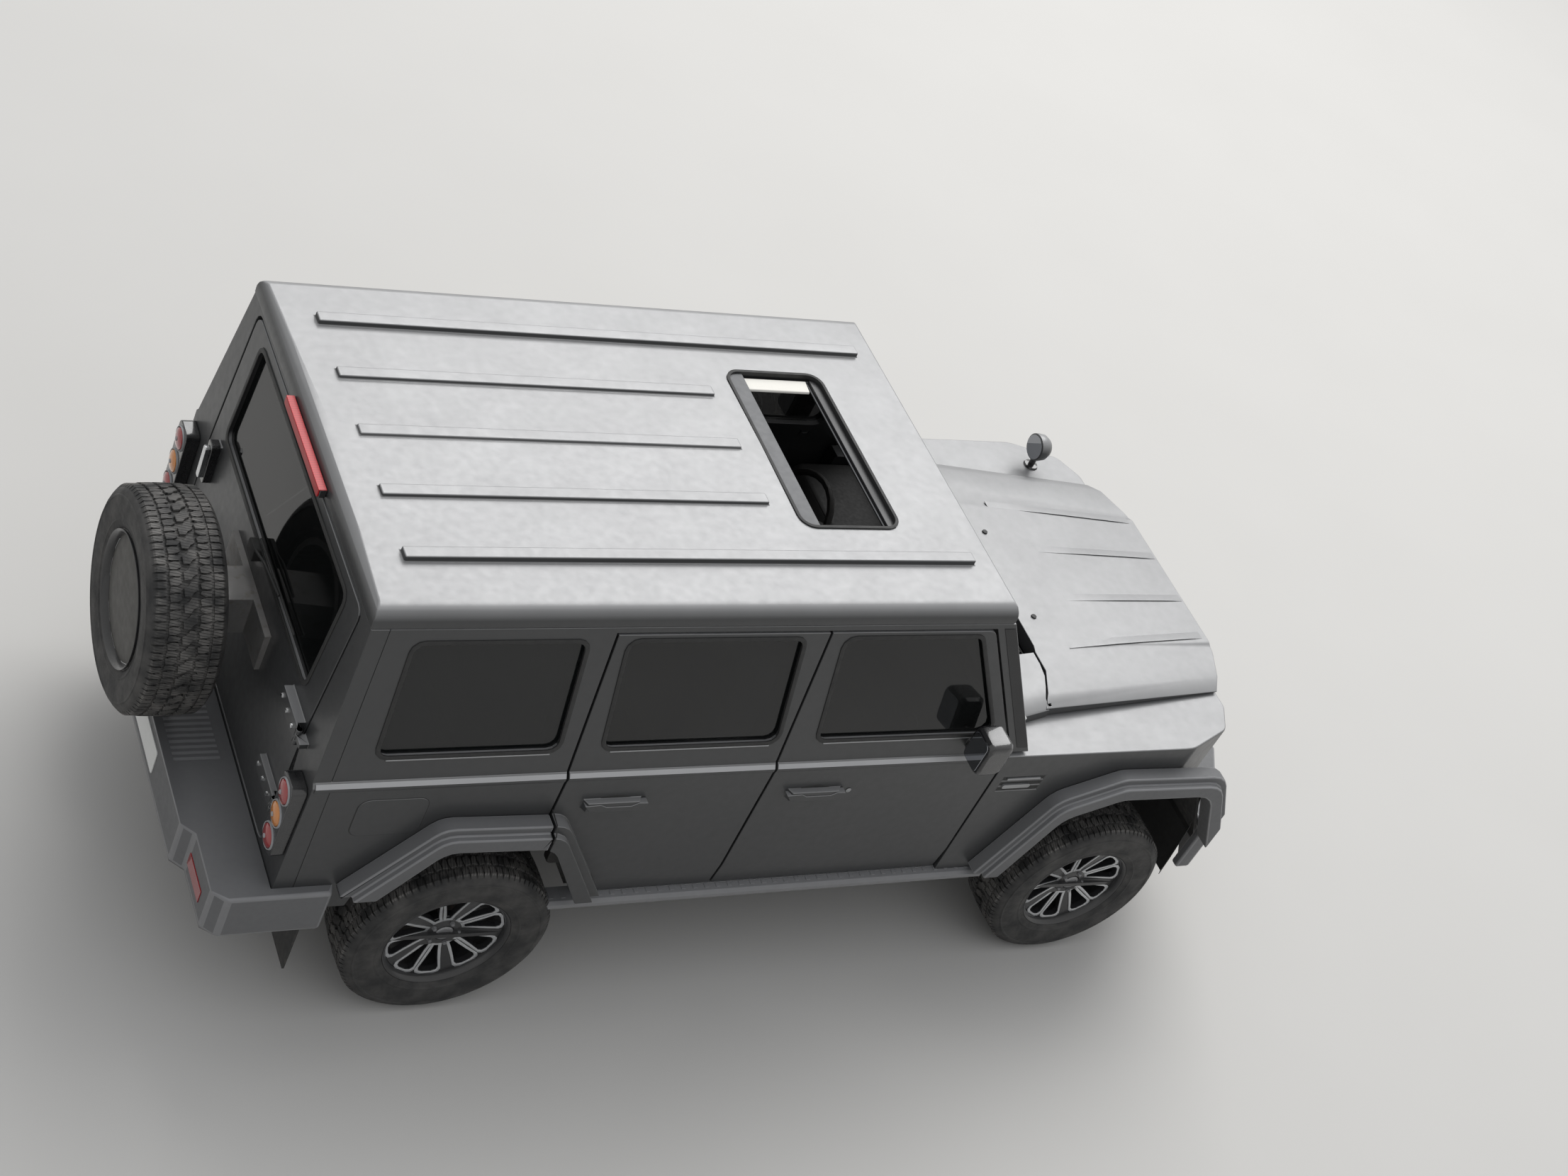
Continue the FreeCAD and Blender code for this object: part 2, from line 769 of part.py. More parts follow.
# Tyres and rims, made about the origin with the outside of the wheel towards +Y.
wheel_sides = 32
quarter_turn = 90.0
tyre_bulge = 14.0
tread_half_share = 0.80
side_height_share = 0.5
rim_wall = 12.0
rim_half_width = 118.0
rim_dish = 62.0
rim_disc = 26.0
hub_bore_radius = 33.0
spoke_count = 10
spoke_window_inner = 84.0
spoke_window_inset = 39.0
spoke_share = 0.52


def tyre():
    half = tyre_width / 2
    shoulder = tyre_radius - tyre_bulge * 2
    side = rim_radius + side_height_share * (tyre_radius - rim_radius)
    return ring_of_flats(
        [
            (rim_radius, -half + tyre_bulge),
            (side, -half),
            (shoulder, -half + tyre_bulge / 2),
            (tyre_radius, -half * tread_half_share),
            (tyre_radius, half * tread_half_share),
            (shoulder, half - tyre_bulge / 2),
            (side, half),
            (rim_radius, half - tyre_bulge),
        ],
        wheel_sides,
    )


def rim():
    """Wheel rim: barrel, dished face with windows between the spokes, and hub bore."""
    outer = rim_radius - seat_gap
    inner = outer - rim_wall * 2
    barrel = ring_of_flats([(outer, -rim_half_width), (outer, rim_half_width), (outer - rim_wall, rim_half_width),
                            (inner, rim_dish), (inner, -rim_half_width)], wheel_sides)
    face_low = rim_dish - rim_disc
    reach = inner + rim_wall / 2
    disc = ring_of_flats([(0, face_low), (reach, face_low), (reach, rim_dish), (0, rim_dish)], wheel_sides)
    disc = disc.cut(rod_y(0, face_low - overrun, rim_dish + overrun, 0, hub_bore_radius))
    window_outer = rim_radius - spoke_window_inset
    step = 2 * math.pi / spoke_count
    half_angle = step * (1 - spoke_share) / 2
    for index in range(spoke_count):
        middle = step * index
        corners = []
        for radius, angle in ((spoke_window_inner, middle - half_angle / 2), (window_outer, middle - half_angle),
                              (window_outer, middle + half_angle), (spoke_window_inner, middle + half_angle / 2)):
            corners.append((radius * math.cos(angle), radius * math.sin(angle)))
        disc = disc.cut(prism_y(corners, face_low - overrun, rim_dish + overrun))
    return fused([barrel, disc])


# Spare wheel on the outside of the tailgate, with a plain cover disc and the carrier that holds it.
spare_y = -17.0
spare_z = 1203.0
spare_recess = 40.0
carrier_foot = 250.0
carrier_half = 80.0
carrier_plate = 20.0


def on_spare(shape):
    """Stand a wheel that is made about the origin at the spare's place, its outside to the rear."""
    shape.rotate(V(0, 0, 0), V(0, 0, 1), quarter_turn)
    shape.translate(V(spare_back_x + tyre_width / 2, spare_y, spare_z))
    return shape


def spare_rim():
    outer = rim_radius - seat_gap
    face = rim_half_width - spare_recess
    barrel = ring_of_flats([(outer, -rim_half_width), (outer, rim_half_width), (outer - rim_wall, rim_half_width),
                            (outer - rim_wall * 2, face), (outer - rim_wall * 2, -rim_half_width)], wheel_sides)
    reach = outer - rim_wall * 2 + rim_wall / 2
    cover = ring_of_flats([(0, face - rim_disc), (reach, face - rim_disc), (reach, face), (0, face)], wheel_sides)
    wheel = on_spare(fused([barrel, cover]))
    near_x = spare_back_x + tyre_width / 2 - face + rim_disc / 2
    foot_x = tail_x(spare_z)
    post = block(near_x, foot_x, spare_y - carrier_half, spare_y + carrier_half, spare_z - carrier_half,
                 spare_z + carrier_half)
    foot = block(foot_x - carrier_plate, foot_x + carrier_plate, spare_y - carrier_foot, spare_y + carrier_foot,
                 spare_z - carrier_half, spare_z + carrier_half)
    edge = prism_y(tail_profile(-seat_gap, tailgate_wall, tailgate_low_z, tailgate_high_z), -body_half_width,
                   body_half_width)
    return fused([wheel, post.fuse(foot).cut(edge)])


# Roof: a pressed shell with lengthwise ribs and a sunroof opening.
roof_crown_drop = 11.0
roof_edge_drop = 29.0
roof_front_setback = 6.0
roof_rear_inset = 43.0
roof_wall = 34.0
roof_side_corner = 52.0
roof_end_corner = 58.0
roof_camber_share = 0.75
rib_pairs = 2
rib_width = 48.0
rib_margin = 236.0
rib_rear_inset = 185.0
rib_inner_setback = 97.0
rib_outer_setback = 122.0
sunroof_setback = 352.0
sunroof_length = 413.0
sunroof_inset = 384.0
sunroof_corner = 60.0
roof_front_station = screen_top_station - roof_front_setback
roof_rear_station = tail_station + roof_rear_inset
roof_crown_z = overall_height - roof_crown_drop
roof_edge_z = overall_height - roof_edge_drop
sunroof_front_station = screen_top_station - sunroof_setback
sunroof_rear_station = sunroof_front_station - sunroof_length
sunroof_half_width = rail_half_width - sunroof_inset
rib_spacing = (rail_half_width - rib_margin) / rib_pairs


def roof_section(half, top, crown):
    """Section of the roof across the vehicle: upright sides, round shoulders and a crowned top."""
    middle = half / 2
    rise = top + (crown - top) * roof_camber_share
    return [(half, rail_z - overrun), (half, top, roof_side_corner), (middle, rise), (0, crown), (-middle, rise),
            (-half, top, roof_side_corner), (-half, rail_z - overrun)]


def roof_volume(inset):
    """Outer or inner volume of the roof, each edge pulled in by the inset."""
    half = rail_half_width - inset
    crown = roof_crown_z - inset
    low_x = ahead(roof_rear_station) + inset
    high_x = ahead(roof_front_station) - inset
    body = prism_x(roof_section(half, roof_edge_z - inset, crown), low_x, high_x)
    bottom = rail_z - (overrun if inset else 0)
    profile = [(low_x, bottom), (high_x, bottom), (high_x, crown, roof_end_corner), (low_x, crown, roof_end_corner)]
    return body.common(prism_y(profile, -half - overrun, half + overrun))


def sunroof_outline(grow):
    low_x = ahead(sunroof_rear_station) - grow
    high_x = ahead(sunroof_front_station) + grow
    half = sunroof_half_width + grow
    return [(low_x, -half, sunroof_corner), (high_x, -half, sunroof_corner), (high_x, half, sunroof_corner),
            (low_x, half, sunroof_corner)]


def roof():
    ribs = []
    for index in range(-rib_pairs, rib_pairs + 1):
        middle = index * rib_spacing
        front = sunroof_rear_station - rib_inner_setback
        if abs(index) == rib_pairs:
            front = screen_top_station - rib_outer_setback
        ribs.append(block(ahead(tail_station + rib_rear_inset), ahead(front), middle - rib_width / 2,
                          middle + rib_width / 2, roof_edge_z - roof_wall / 2, overall_height))
    shell = roof_volume(0).fuse(fused(ribs)).cut(roof_volume(roof_wall))
    return shell.cut(prism_z(sunroof_outline(0), rail_z, overall_height + overrun)).removeSplitter()


# Sunroof cassette under the roof skin: a tray with the same opening, the glass stored in its rear half.
cassette_length = 437.0
cassette_margin = 44.0
cassette_depth = 46.0
cassette_lip = 10.0


def sunroof_frame():
    half = sunroof_half_width + cassette_margin
    low = roof_edge_z - roof_wall - cassette_depth / 2
    tray = block(ahead(sunroof_rear_station - cassette_length), ahead(sunroof_front_station) + cassette_margin,
                 -half, half, low, overall_height)
    tray = tray.common(roof_volume(roof_wall + seat_gap))
    return tray.cut(prism_z(sunroof_outline(-cassette_lip), low - overrun, overall_height))


# Bonnet with a raised middle, hinged at its rear corners.
bonnet_front_reach = 500.0
bonnet_rear_inset = 192.0
bonnet_front_inset = 296.0
bonnet_centre_inset = 372.0
bonnet_bulge_rear_inset = 492.0
bonnet_bulge_front_inset = 536.0
bonnet_bulge_height = 10.0
bonnet_bulge_slope = 26.0
bonnet_rear_z = 1330.0
bonnet_front_z = 1294.0
bonnet_shoulder = 60.0
bonnet_shoulder_drop = 24.0
bonnet_wall = 26.0
bonnet_nose_corner = 130.0
bonnet_nose_share = 0.667
bonnet_skirt_z = fender_top_z + panel_gap
bonnet_front_station = wheelbase + bonnet_front_reach
bonnet_rear_half_width = body_half_width - bonnet_rear_inset
bonnet_front_half_width = body_half_width - bonnet_front_inset
bonnet_centre_half_width = body_half_width - bonnet_centre_inset
bonnet_hinge_inset = 12.0
bonnet_hinge_rise = 26.0
bonnet_lug_inset = 19.0
bonnet_lug_half = 4.5
bonnet_lug_radius = 8.0
bonnet_slot_half = 6.5
bonnet_pin_radius = 5.0
bonnet_bore_radius = 5.3
bonnet_pin_reach = 14.0
bonnet_axis_x = ahead(bonnet_corner_station) + bonnet_hinge_inset
bonnet_axis_z = bonnet_skirt_z + bonnet_hinge_rise
bonnet_lug_y = bonnet_rear_half_width - bonnet_lug_inset


def bonnet_section(x, half, bulge, top, low, inset):
    """Corners of a section of the bonnet, from its left foot over the top to its right foot."""
    outer = half - inset
    shoulder = outer - bonnet_shoulder
    flat = top - bonnet_bulge_height - inset
    left = [
        (outer, low),
        (outer, flat - bonnet_shoulder_drop),
        (shoulder, flat),
        (bulge + bonnet_bulge_slope, flat),
        (bulge, top - inset),
    ]
    return [V(x, y, z) for y, z in left] + [V(x, -y, z) for y, z in reversed(left)]


def bonnet_volume(inset):
    """The bonnet's outer or inner volume, trimmed to its plan."""
    low = bonnet_skirt_z - (overrun if inset else 0)
    rear = bonnet_section(ahead(bonnet_corner_station), bonnet_rear_half_width,
                          body_half_width - bonnet_bulge_rear_inset, bonnet_rear_z, low, inset)
    front = bonnet_section(ahead(bonnet_front_station) + overrun, bonnet_front_half_width,
                           body_half_width - bonnet_bulge_front_inset, bonnet_front_z, low, inset)
    rear_x = ahead(bonnet_corner_station) + inset
    centre_x = ahead(bonnet_rear_station) + inset
    front_x = ahead(bonnet_front_station) - inset
    nose = bonnet_front_half_width * bonnet_nose_share
    left = [
        (centre_x, bonnet_centre_half_width, 0),
        (rear_x, bonnet_rear_half_width, 0),
        (front_x - bonnet_nose_corner, bonnet_rear_half_width, 0),
        (front_x, nose, bonnet_nose_corner),
    ]
    plan = left + [(x, -y, corner) for x, y, corner in reversed(left)]
    return through([rear, front]).common(prism_z(plan, bonnet_skirt_z - overrun, overall_height))


def bonnet_lug():
    """Lug that stands on the fender at the bonnet's rear corner, with the hinge pin through it."""
    x = bonnet_axis_x
    low = bonnet_lug_y - bonnet_lug_half
    high = bonnet_lug_y + bonnet_lug_half
    foot_z = fender_top_z - fender_wall / 2
    web = block(x - bonnet_lug_radius, x + bonnet_lug_radius, low, high, foot_z, bonnet_axis_z)
    pin = rod_y(x, low, high + bonnet_pin_reach, bonnet_axis_z, bonnet_pin_radius)
    return fused([web, bar_y(x, low, high, bonnet_axis_z, bonnet_lug_radius), pin])


def bonnet():
    shell = bonnet_volume(0).cut(bonnet_volume(bonnet_wall))
    reach = bonnet_lug_radius + panel_gap
    slot = block(bonnet_axis_x - overrun, bonnet_axis_x + reach, bonnet_lug_y - bonnet_wall,
                 bonnet_lug_y + bonnet_slot_half, 0, bonnet_axis_z + reach)
    bore = rod_y(bonnet_axis_x, bonnet_lug_y, bonnet_lug_y + bonnet_lug_half + bonnet_pin_reach + seat_gap,
                 bonnet_axis_z, bonnet_bore_radius)
    return cut_both(shell, slot.fuse(bore))


# Front fenders: outer skin, flat top and rounded front corner, open to the wheel, with an air vent.
fender_wall = 28.0
fender_inner_rear_inset = 252.0
fender_inner_front_inset = 332.0
fender_nose_inset = 92.0
fender_bend_reach = 130.0
fender_nose_reach = 350.0
fender_bend_radius = 160.0
fender_nose_radius = 60.0
fender_foot_z = 560.0
vent_reach = 51.0
vent_length = 194.0
vent_low_z = 1046.0
vent_high_z = 1137.0
vent_bars = 2
vent_depth = 16.0
vent_bar_share = 0.4
fender_inner_rear_y = body_half_width - fender_inner_rear_inset
fender_inner_front_y = body_half_width - fender_inner_front_inset
fender_nose_y = body_half_width - fender_nose_inset


def fender_plan(inset):
    extra = overrun if inset else 0
    rear = ahead(cowl_gap_station) + panel_gap / 2 - extra
    front = ahead(fender_front_station) - inset
    return [
        (ahead(bonnet_rear_station), fender_inner_rear_y - extra),
        (rear, fender_inner_rear_y - extra),
        (rear, body_half_width - inset),
        (front_axle_x + fender_bend_reach, body_half_width - inset, fender_bend_radius),
        (front_axle_x + fender_nose_reach - inset, fender_nose_y - inset, fender_nose_radius),
        (front, (fender_nose_y + fender_inner_front_y) / 2 - inset / 2, fender_nose_radius),
        (front, fender_inner_front_y - extra),
    ]


def fender():
    shell = prism_z(fender_plan(0), fender_foot_z, fender_top_z)
    shell = shell.cut(prism_z(fender_plan(fender_wall), fender_foot_z - overrun, fender_top_z - fender_wall))
    shell = shell.cut(prism_y(arch_outline(front_arch_shares, front_axle_x), 0, flare_half_width))
    under = block(front_axle_x, nose_x, 0, flare_half_width, fender_foot_z - overrun, bumper_top_z + panel_gap)
    hinge_room = body_half_width - lower_wall - door_stop + panel_gap
    cowl_room = block(ahead(cowl_gap_station) - overrun, ahead(screen_base_station) + panel_gap, 0, hinge_room,
                      0, overall_height)
    shell = shell.cut(under).cut(cowl_room)
    vent_x = ahead(cowl_gap_station) + vent_reach
    pitch = (vent_high_z - vent_low_z) / (vent_bars + 1)
    for index in range(vent_bars + 1):
        low = vent_low_z + index * pitch
        shell = shell.cut(block(vent_x, vent_x + vent_length, body_half_width - vent_depth, body_half_width + overrun,
                                low, low + pitch * (1 - vent_bar_share)))
    return fused([shell, bonnet_lug()])


# Front bumper, a shell with its corners swept back, carried by a bracket at each rail's end.
bumper_top_z = 735.0
bumper_low_z = 470.0
bumper_wall = 40.0
bumper_end_reach = 500.0
bumper_corner_proud = 13.0
bumper_flat_inset = 425.0
bumper_side_length = 70.0
bumper_sweep = 110.0
bumper_sweep_y = 230.0
rail_front_reach = 600.0
tow_socket_radius = 12.0
tow_socket_rise = 60.0
bumper_bracket_half = 30.0
bumper_corner_y = body_half_width + bumper_corner_proud
bumper_flat_half_width = bumper_corner_y - bumper_flat_inset
bumper_end_x = front_axle_x + bumper_end_reach
rail_front_x = front_axle_x + rail_front_reach
tow_socket_z = rail_front_top_z + tow_socket_rise


def front_bumper_plan(inset):
    extra = overrun if inset else 0
    left = [
        (bumper_end_x - extra, bumper_corner_y - inset),
        (bumper_end_x + bumper_side_length - inset, bumper_corner_y - inset),
        (nose_x - bumper_sweep - inset, bumper_corner_y - bumper_sweep_y),
        (nose_x - inset, bumper_flat_half_width - inset / 2),
    ]
    return left + [(x, -y) for x, y in reversed(left)]


def front_bumper():
    shell = prism_z(front_bumper_plan(0), bumper_low_z, bumper_top_z)
    shell = shell.cut(prism_z(front_bumper_plan(bumper_wall), bumper_low_z - overrun, bumper_top_z - bumper_wall))
    start = V(nose_x - bumper_wall - overrun, rail_middle_y, tow_socket_z)
    shell = shell.cut(rod(start, start + V(bumper_wall + 2 * overrun, 0, 0), tow_socket_radius))
    middle_z = rail_front_low_z + rail_height / 2
    bracket = block(rail_front_x + seat_gap, nose_x - bumper_wall / 2, rail_middle_y - bumper_bracket_half,
                    rail_middle_y + bumper_bracket_half, middle_z - bumper_bracket_half,
                    middle_z + bumper_bracket_half)
    return fused([shell] + both_sides(bracket))


# Rear bumper, a shell that wraps forward to the rear wheel openings and closes against the body.
rear_bumper_low_z = 540.0
rear_bumper_top_z = 738.0
rear_bumper_proud = 38.0
rear_bumper_back_reach = 253.0
rear_bumper_step_reach = 210.0
rear_bumper_end_gap = 38.0
rear_bumper_flat_inset = 330.0
rear_bumper_chamfer = 46.0
rear_bumper_corner_y = body_half_width + rear_bumper_proud


def rear_bumper_plan(inset):
    end = ahead(rear_arch_back_station - rear_bumper_end_gap) + (overrun if inset else 0)
    back = ahead(tail_station - rear_bumper_back_reach) + inset
    step = ahead(tail_station - rear_bumper_step_reach) + inset
    corner = rear_bumper_corner_y - inset
    flat = rear_bumper_corner_y - rear_bumper_flat_inset
    chamfer = rear_bumper_chamfer
    left = [
        (end, corner),
        (step + chamfer, corner),
        (step, corner - chamfer),
        (step, flat + chamfer),
        (back, flat),
    ]
    return left + [(x, -y) for x, y in reversed(left)]


def rear_bumper():
    shell = prism_z(rear_bumper_plan(0), rear_bumper_low_z, rear_bumper_top_z)
    shell = shell.cut(prism_z(rear_bumper_plan(bumper_wall), rear_bumper_low_z - overrun,
                              rear_bumper_top_z - bumper_wall))
    body = prism_x(full_section(tail_foot_z - overrun, crease_z), tail_x(tail_foot_z) - seat_gap, nose_x)
    return shell.cut(body)


# Flares fixed to the body: the rear one stops at the rear door and at the bumper.
def rear_fixed_flare():
    edge = ahead(quarter_gap_station) - panel_gap / 2
    fixed = flare_between(rear_flare(), spare_back_x, edge, 0)
    return fixed.cut(block(spare_back_x, rear_axle_x, 0, flare_half_width + overrun, 0, rear_bumper_top_z + seat_gap))


# Mud flaps hang from the rear bumper's sides, behind the rear wheels.
flap_reach = 86.0
flap_thickness = 8.0
flap_rise = 270.0
flap_inset = 105.0


def mud_flap():
    x = ahead(rear_arch_back_station - flap_reach)
    return block(x - flap_thickness, x, wheel_y - flap_inset, rear_bumper_corner_y - bumper_wall - seat_gap,
                 flap_rise, tail_foot_z - seat_gap)


# Wheel-well liners: an arched skin and an inner cheek at each wheel.
rear_cheek_room = 32.5
liner_wall = 12.0
rear_liner_rise = 172.0
front_liner_rise = 56.0
rear_cheek_y = wheel_inner_y - rear_cheek_room


def liner(shares, hub_x, cheek_y, outer_end_y, foot_z):
    outline = arch_outline(shares, hub_x, -seat_gap)
    skin_part = prism_y(outline, cheek_y, outer_end_y)
    skin_part = skin_part.cut(prism_y(arch_outline(shares, hub_x, -liner_wall), cheek_y - overrun,
                                      outer_end_y + overrun))
    cheek = prism_y(outline, cheek_y - liner_wall, cheek_y)
    space = block(spare_back_x, nose_x, 0, flare_half_width, foot_z, overall_height)
    return skin_part.fuse(cheek).common(space).removeSplitter()


def rear_liner():
    outer_end = body_half_width - lower_wall - door_stop
    return liner(rear_arch_shares, rear_axle_x, rear_cheek_y, outer_end, hub_z + rear_liner_rise)


def front_liner():
    outer_end = body_half_width - liner_wall / 2
    return liner(front_arch_shares, front_axle_x, front_cheek_y, outer_end, rail_front_top_z + front_liner_rise)


# Floor pan: cabin floor, raised load floor, toe board and firewall in one pressed sheet.
load_step_station = 60.0
toe_setback = 230.0
firewall_setback = 28.0
firewall_foot_rise = 200.0
firewall_top_z = 1224.0
firewall_station = screen_base_station - firewall_setback
toe_station = firewall_station - toe_setback
firewall_foot_z = floor_low_z + firewall_foot_rise
floor_half_width = deep_y(floor_low_z) - seat_gap


def floor_pan():
    rear = ring_front_x + seat_gap
    step = ahead(load_step_station)
    thick = floor_thickness
    outline = [
        (rear, load_floor_low_z),
        (step, load_floor_low_z),
        (step, floor_low_z),
        (ahead(toe_station), floor_low_z),
        (ahead(firewall_station), firewall_foot_z),
        (ahead(firewall_station), firewall_top_z),
        (ahead(firewall_station) - thick, firewall_top_z),
        (ahead(firewall_station) - thick, firewall_foot_z + thick / 2),
        (ahead(toe_station) - thick / 2, floor_low_z + thick),
        (step + thick, floor_low_z + thick),
        (step + thick, load_floor_low_z + thick),
        (rear, load_floor_low_z + thick),
    ]
    sheet = prism_y(outline, -floor_half_width, floor_half_width)
    for shares, hub_x, cheek_y in ((rear_arch_shares, rear_axle_x, rear_cheek_y),
                                   (front_arch_shares, front_axle_x, front_cheek_y)):
        arch = arch_outline(shares, hub_x)
        sheet = cut_both(sheet, prism_y(arch, cheek_y - liner_wall - seat_gap, flare_half_width))
    return sheet


# Cowl between the bonnet and the windscreen.
cowl_thickness = 24.0
cowl_lip = 26.0
cowl_ramp = 26.0


def cowl():
    low = fender_top_z - cowl_thickness
    rear = ahead(screen_base_station) - cowl_lip
    front = ahead(bonnet_rear_station) - panel_gap
    outline = [
        (rear, low),
        (front, low),
        (front, fender_top_z),
        (rear + cowl_lip + cowl_ramp, fender_top_z),
        (rear + cowl_lip, crease_z - seat_gap),
        (rear, crease_z - seat_gap),
    ]
    half = deep_y(crease_z) - seat_gap
    sheet = prism_y(outline, -half, half)
    edge = ahead(screen_base_station) + panel_gap - seat_gap
    side = block(edge, nose_x, fender_inner_rear_y - seat_gap, half + overrun, 0, overall_height)
    corner = block(ahead(bonnet_corner_station) - panel_gap, nose_x, bonnet_centre_half_width - panel_gap,
                   half + overrun, 0, overall_height)
    return cut_both(sheet, side.fuse(corner))


# Fixed glass: windscreen and quarter windows.
screen_inset = 14.0
screen_thickness = 10.0


def windscreen():
    def line(z, inset):
        return (ahead(screen_station(z)) - inset, z)

    low = crease_z + seat_gap
    high = rail_z - seat_gap
    inner = screen_inset + screen_thickness
    outline = [line(low, screen_inset), line(high, screen_inset), line(high, inner), line(low, inner)]
    sheet = prism_y(outline, -body_half_width, body_half_width)
    inset = screen_pillar_depth + seat_gap
    section = [(outer_y(low) - inset, low), (outer_y(high) - inset, high), (inset - outer_y(high), high),
               (inset - outer_y(low), low)]
    return sheet.common(prism_x(section, ahead(screen_top_station - overrun) - overrun, ahead(screen_base_station)))


def quarter_pane():
    return pane(quarter_window(seat_gap), ahead(tail_station), ahead(quarter_gap_station))


# Front panel with the grille bars and lamp openings, and the lamps in it.
panel_reach = 396.0
panel_thickness = 44.0
panel_high_z = 1240.0
panel_low_z = 744.0
panel_foot_gap = 3.0
grille_low_z = 850.0
grille_high_z = 1180.0
grille_bars = 6
grille_bar_share = 0.34
grille_inset = 110.0
lamp_radius = 84.0
lamp_inset = 98.0
lamp_z = 1070.0
lamp_rim = 9.0
lamp_depth = 70.0
lamp_proud = 14.0
lamp_face_share = 0.7
lamp_sides = 24
panel_back_x = front_axle_x + panel_reach
panel_half_width = fender_inner_front_y - seat_gap
panel_foot_half_width = front_cheek_y - liner_wall - panel_foot_gap
lamp_y = fender_inner_front_y - lamp_inset
grille_half_width = lamp_y - grille_inset


def front_panel():
    front = panel_back_x + panel_thickness
    left = [
        (panel_high_z, panel_half_width),
        (panel_low_z, panel_half_width),
        (panel_low_z, panel_foot_half_width),
        (rail_front_top_z + seat_gap, panel_foot_half_width),
    ]
    outline = [(y, z) for z, y in left] + [(-y, z) for z, y in reversed(left)]
    sheet = prism_x(outline, panel_back_x, front)
    pitch = (grille_high_z - grille_low_z) / grille_bars
    gap = pitch * (1 - grille_bar_share)
    for index in range(grille_bars):
        low = grille_low_z + index * pitch + pitch * grille_bar_share / 2
        sheet = sheet.cut(block(panel_back_x - overrun, front + overrun, -grille_half_width, grille_half_width,
                                low, low + gap))
    hole = ring_of_flats([(0, -panel_thickness), (lamp_radius + lamp_rim, -panel_thickness),
                          (lamp_radius + lamp_rim, panel_thickness), (0, panel_thickness)], lamp_sides)
    hole.rotate(V(0, 0, 0), V(0, 0, 1), -quarter_turn)
    hole.translate(V(panel_back_x + panel_thickness / 2, lamp_y, lamp_z))
    sheet = cut_both(sheet, hole)
    cheek = front_cheek_y - liner_wall - seat_gap
    return cut_both(sheet, prism_y(arch_outline(front_arch_shares, front_axle_x), cheek, flare_half_width))


def headlamp():
    centre = V(panel_back_x + panel_thickness, lamp_y, lamp_z)
    radius = lamp_radius + lamp_rim - seat_gap
    face = lamp_radius * lamp_face_share
    lamp = ring_of_flats([(0, lamp_proud), (face, lamp_proud), (radius, 0), (radius, -lamp_depth), (0, -lamp_depth)],
                         lamp_sides)
    lamp.rotate(V(0, 0, 0), V(0, 0, 1), -quarter_turn)
    lamp.translate(centre)
    return lamp


# Tail lamps on the rear corners and the high stop lamp at the roof's rear edge.
tail_lamp_low_z = 882.0
tail_lamp_high_z = 1217.0
tail_lamp_inner_gap = 70.0
tail_lamp_outer_gap = 12.0
tail_lamp_proud = 46.0
tail_lamp_corner = 26.0
high_lamp_half_width = 225.0
high_lamp_height = 34.0
high_lamp_depth = 26.0


def tail_lamp():
    face = tail_x(tail_lamp_low_z) - tail_lamp_proud
    inner = tailgate_half_width + tail_lamp_inner_gap
    outer = body_half_width - tail_lamp_outer_gap
    corner = tail_lamp_corner
    outline = [(inner, tail_lamp_low_z, corner), (outer, tail_lamp_low_z, corner), (outer, tail_lamp_high_z, corner),
               (inner, tail_lamp_high_z, corner)]
    lamp = prism_x(outline, face, tail_x(crease_z))
    return lamp.cut(prism_y(tail_profile(-seat_gap, rear_ring_depth, tail_foot_z, rail_z), 0, body_half_width))


def high_lamp():
    edge = ahead(roof_rear_station) - seat_gap
    low = rail_z + seat_gap
    half = high_lamp_half_width
    return block(edge - high_lamp_depth, edge, -half, half, low, low + high_lamp_height)


# Ladder frame: two rails kicked up over the rear axle, crossmembers, body mounts and arm brackets.
rail_rear_overhang = 135.0
rear_kick_foot_station = 600.0
rear_kick_top_station = 380.0
nose_kick_foot_setback = 600.0
nose_kick_top_setback = 400.0
cross_length = 70.0
cross_height = 50.0
cross_inset = 25.0
axle_cross_station = 440.0
axle_cross_rise = 100.0
gearbox_cross_lead = 90.0
gearbox_cross_rise = 60.0
engine_cross_reach = 260.0
nose_cross_reach = 530.0
nose_cross_height = 110.0
hitch_height = 100.0
hitch_spacing_x = 40.0
hitch_spacing_y = 240.0
hitch_hole_radius = 6.5
mount_half = 30.0
mount_overlap = 50.0
rear_mount_inset = 105.0
middle_mount_station = 900.0
front_mount_setback = 1050.0
bracket_half = 24.0
arm_reach = 150.0
lower_arm_room = 123.0
upper_arm_rise = 78.0
transfer_station = 1330.0
rail_rear_station = tail_station - rail_rear_overhang
lower_arm_z = hub_z - (rim_radius - lower_arm_room)
upper_arm_z = hub_z + rim_radius - upper_arm_rise


def crossmember(x, low, height):
    half = rail_outer_y - cross_inset
    return block(x, x + cross_length, -half, half, low, low + height)


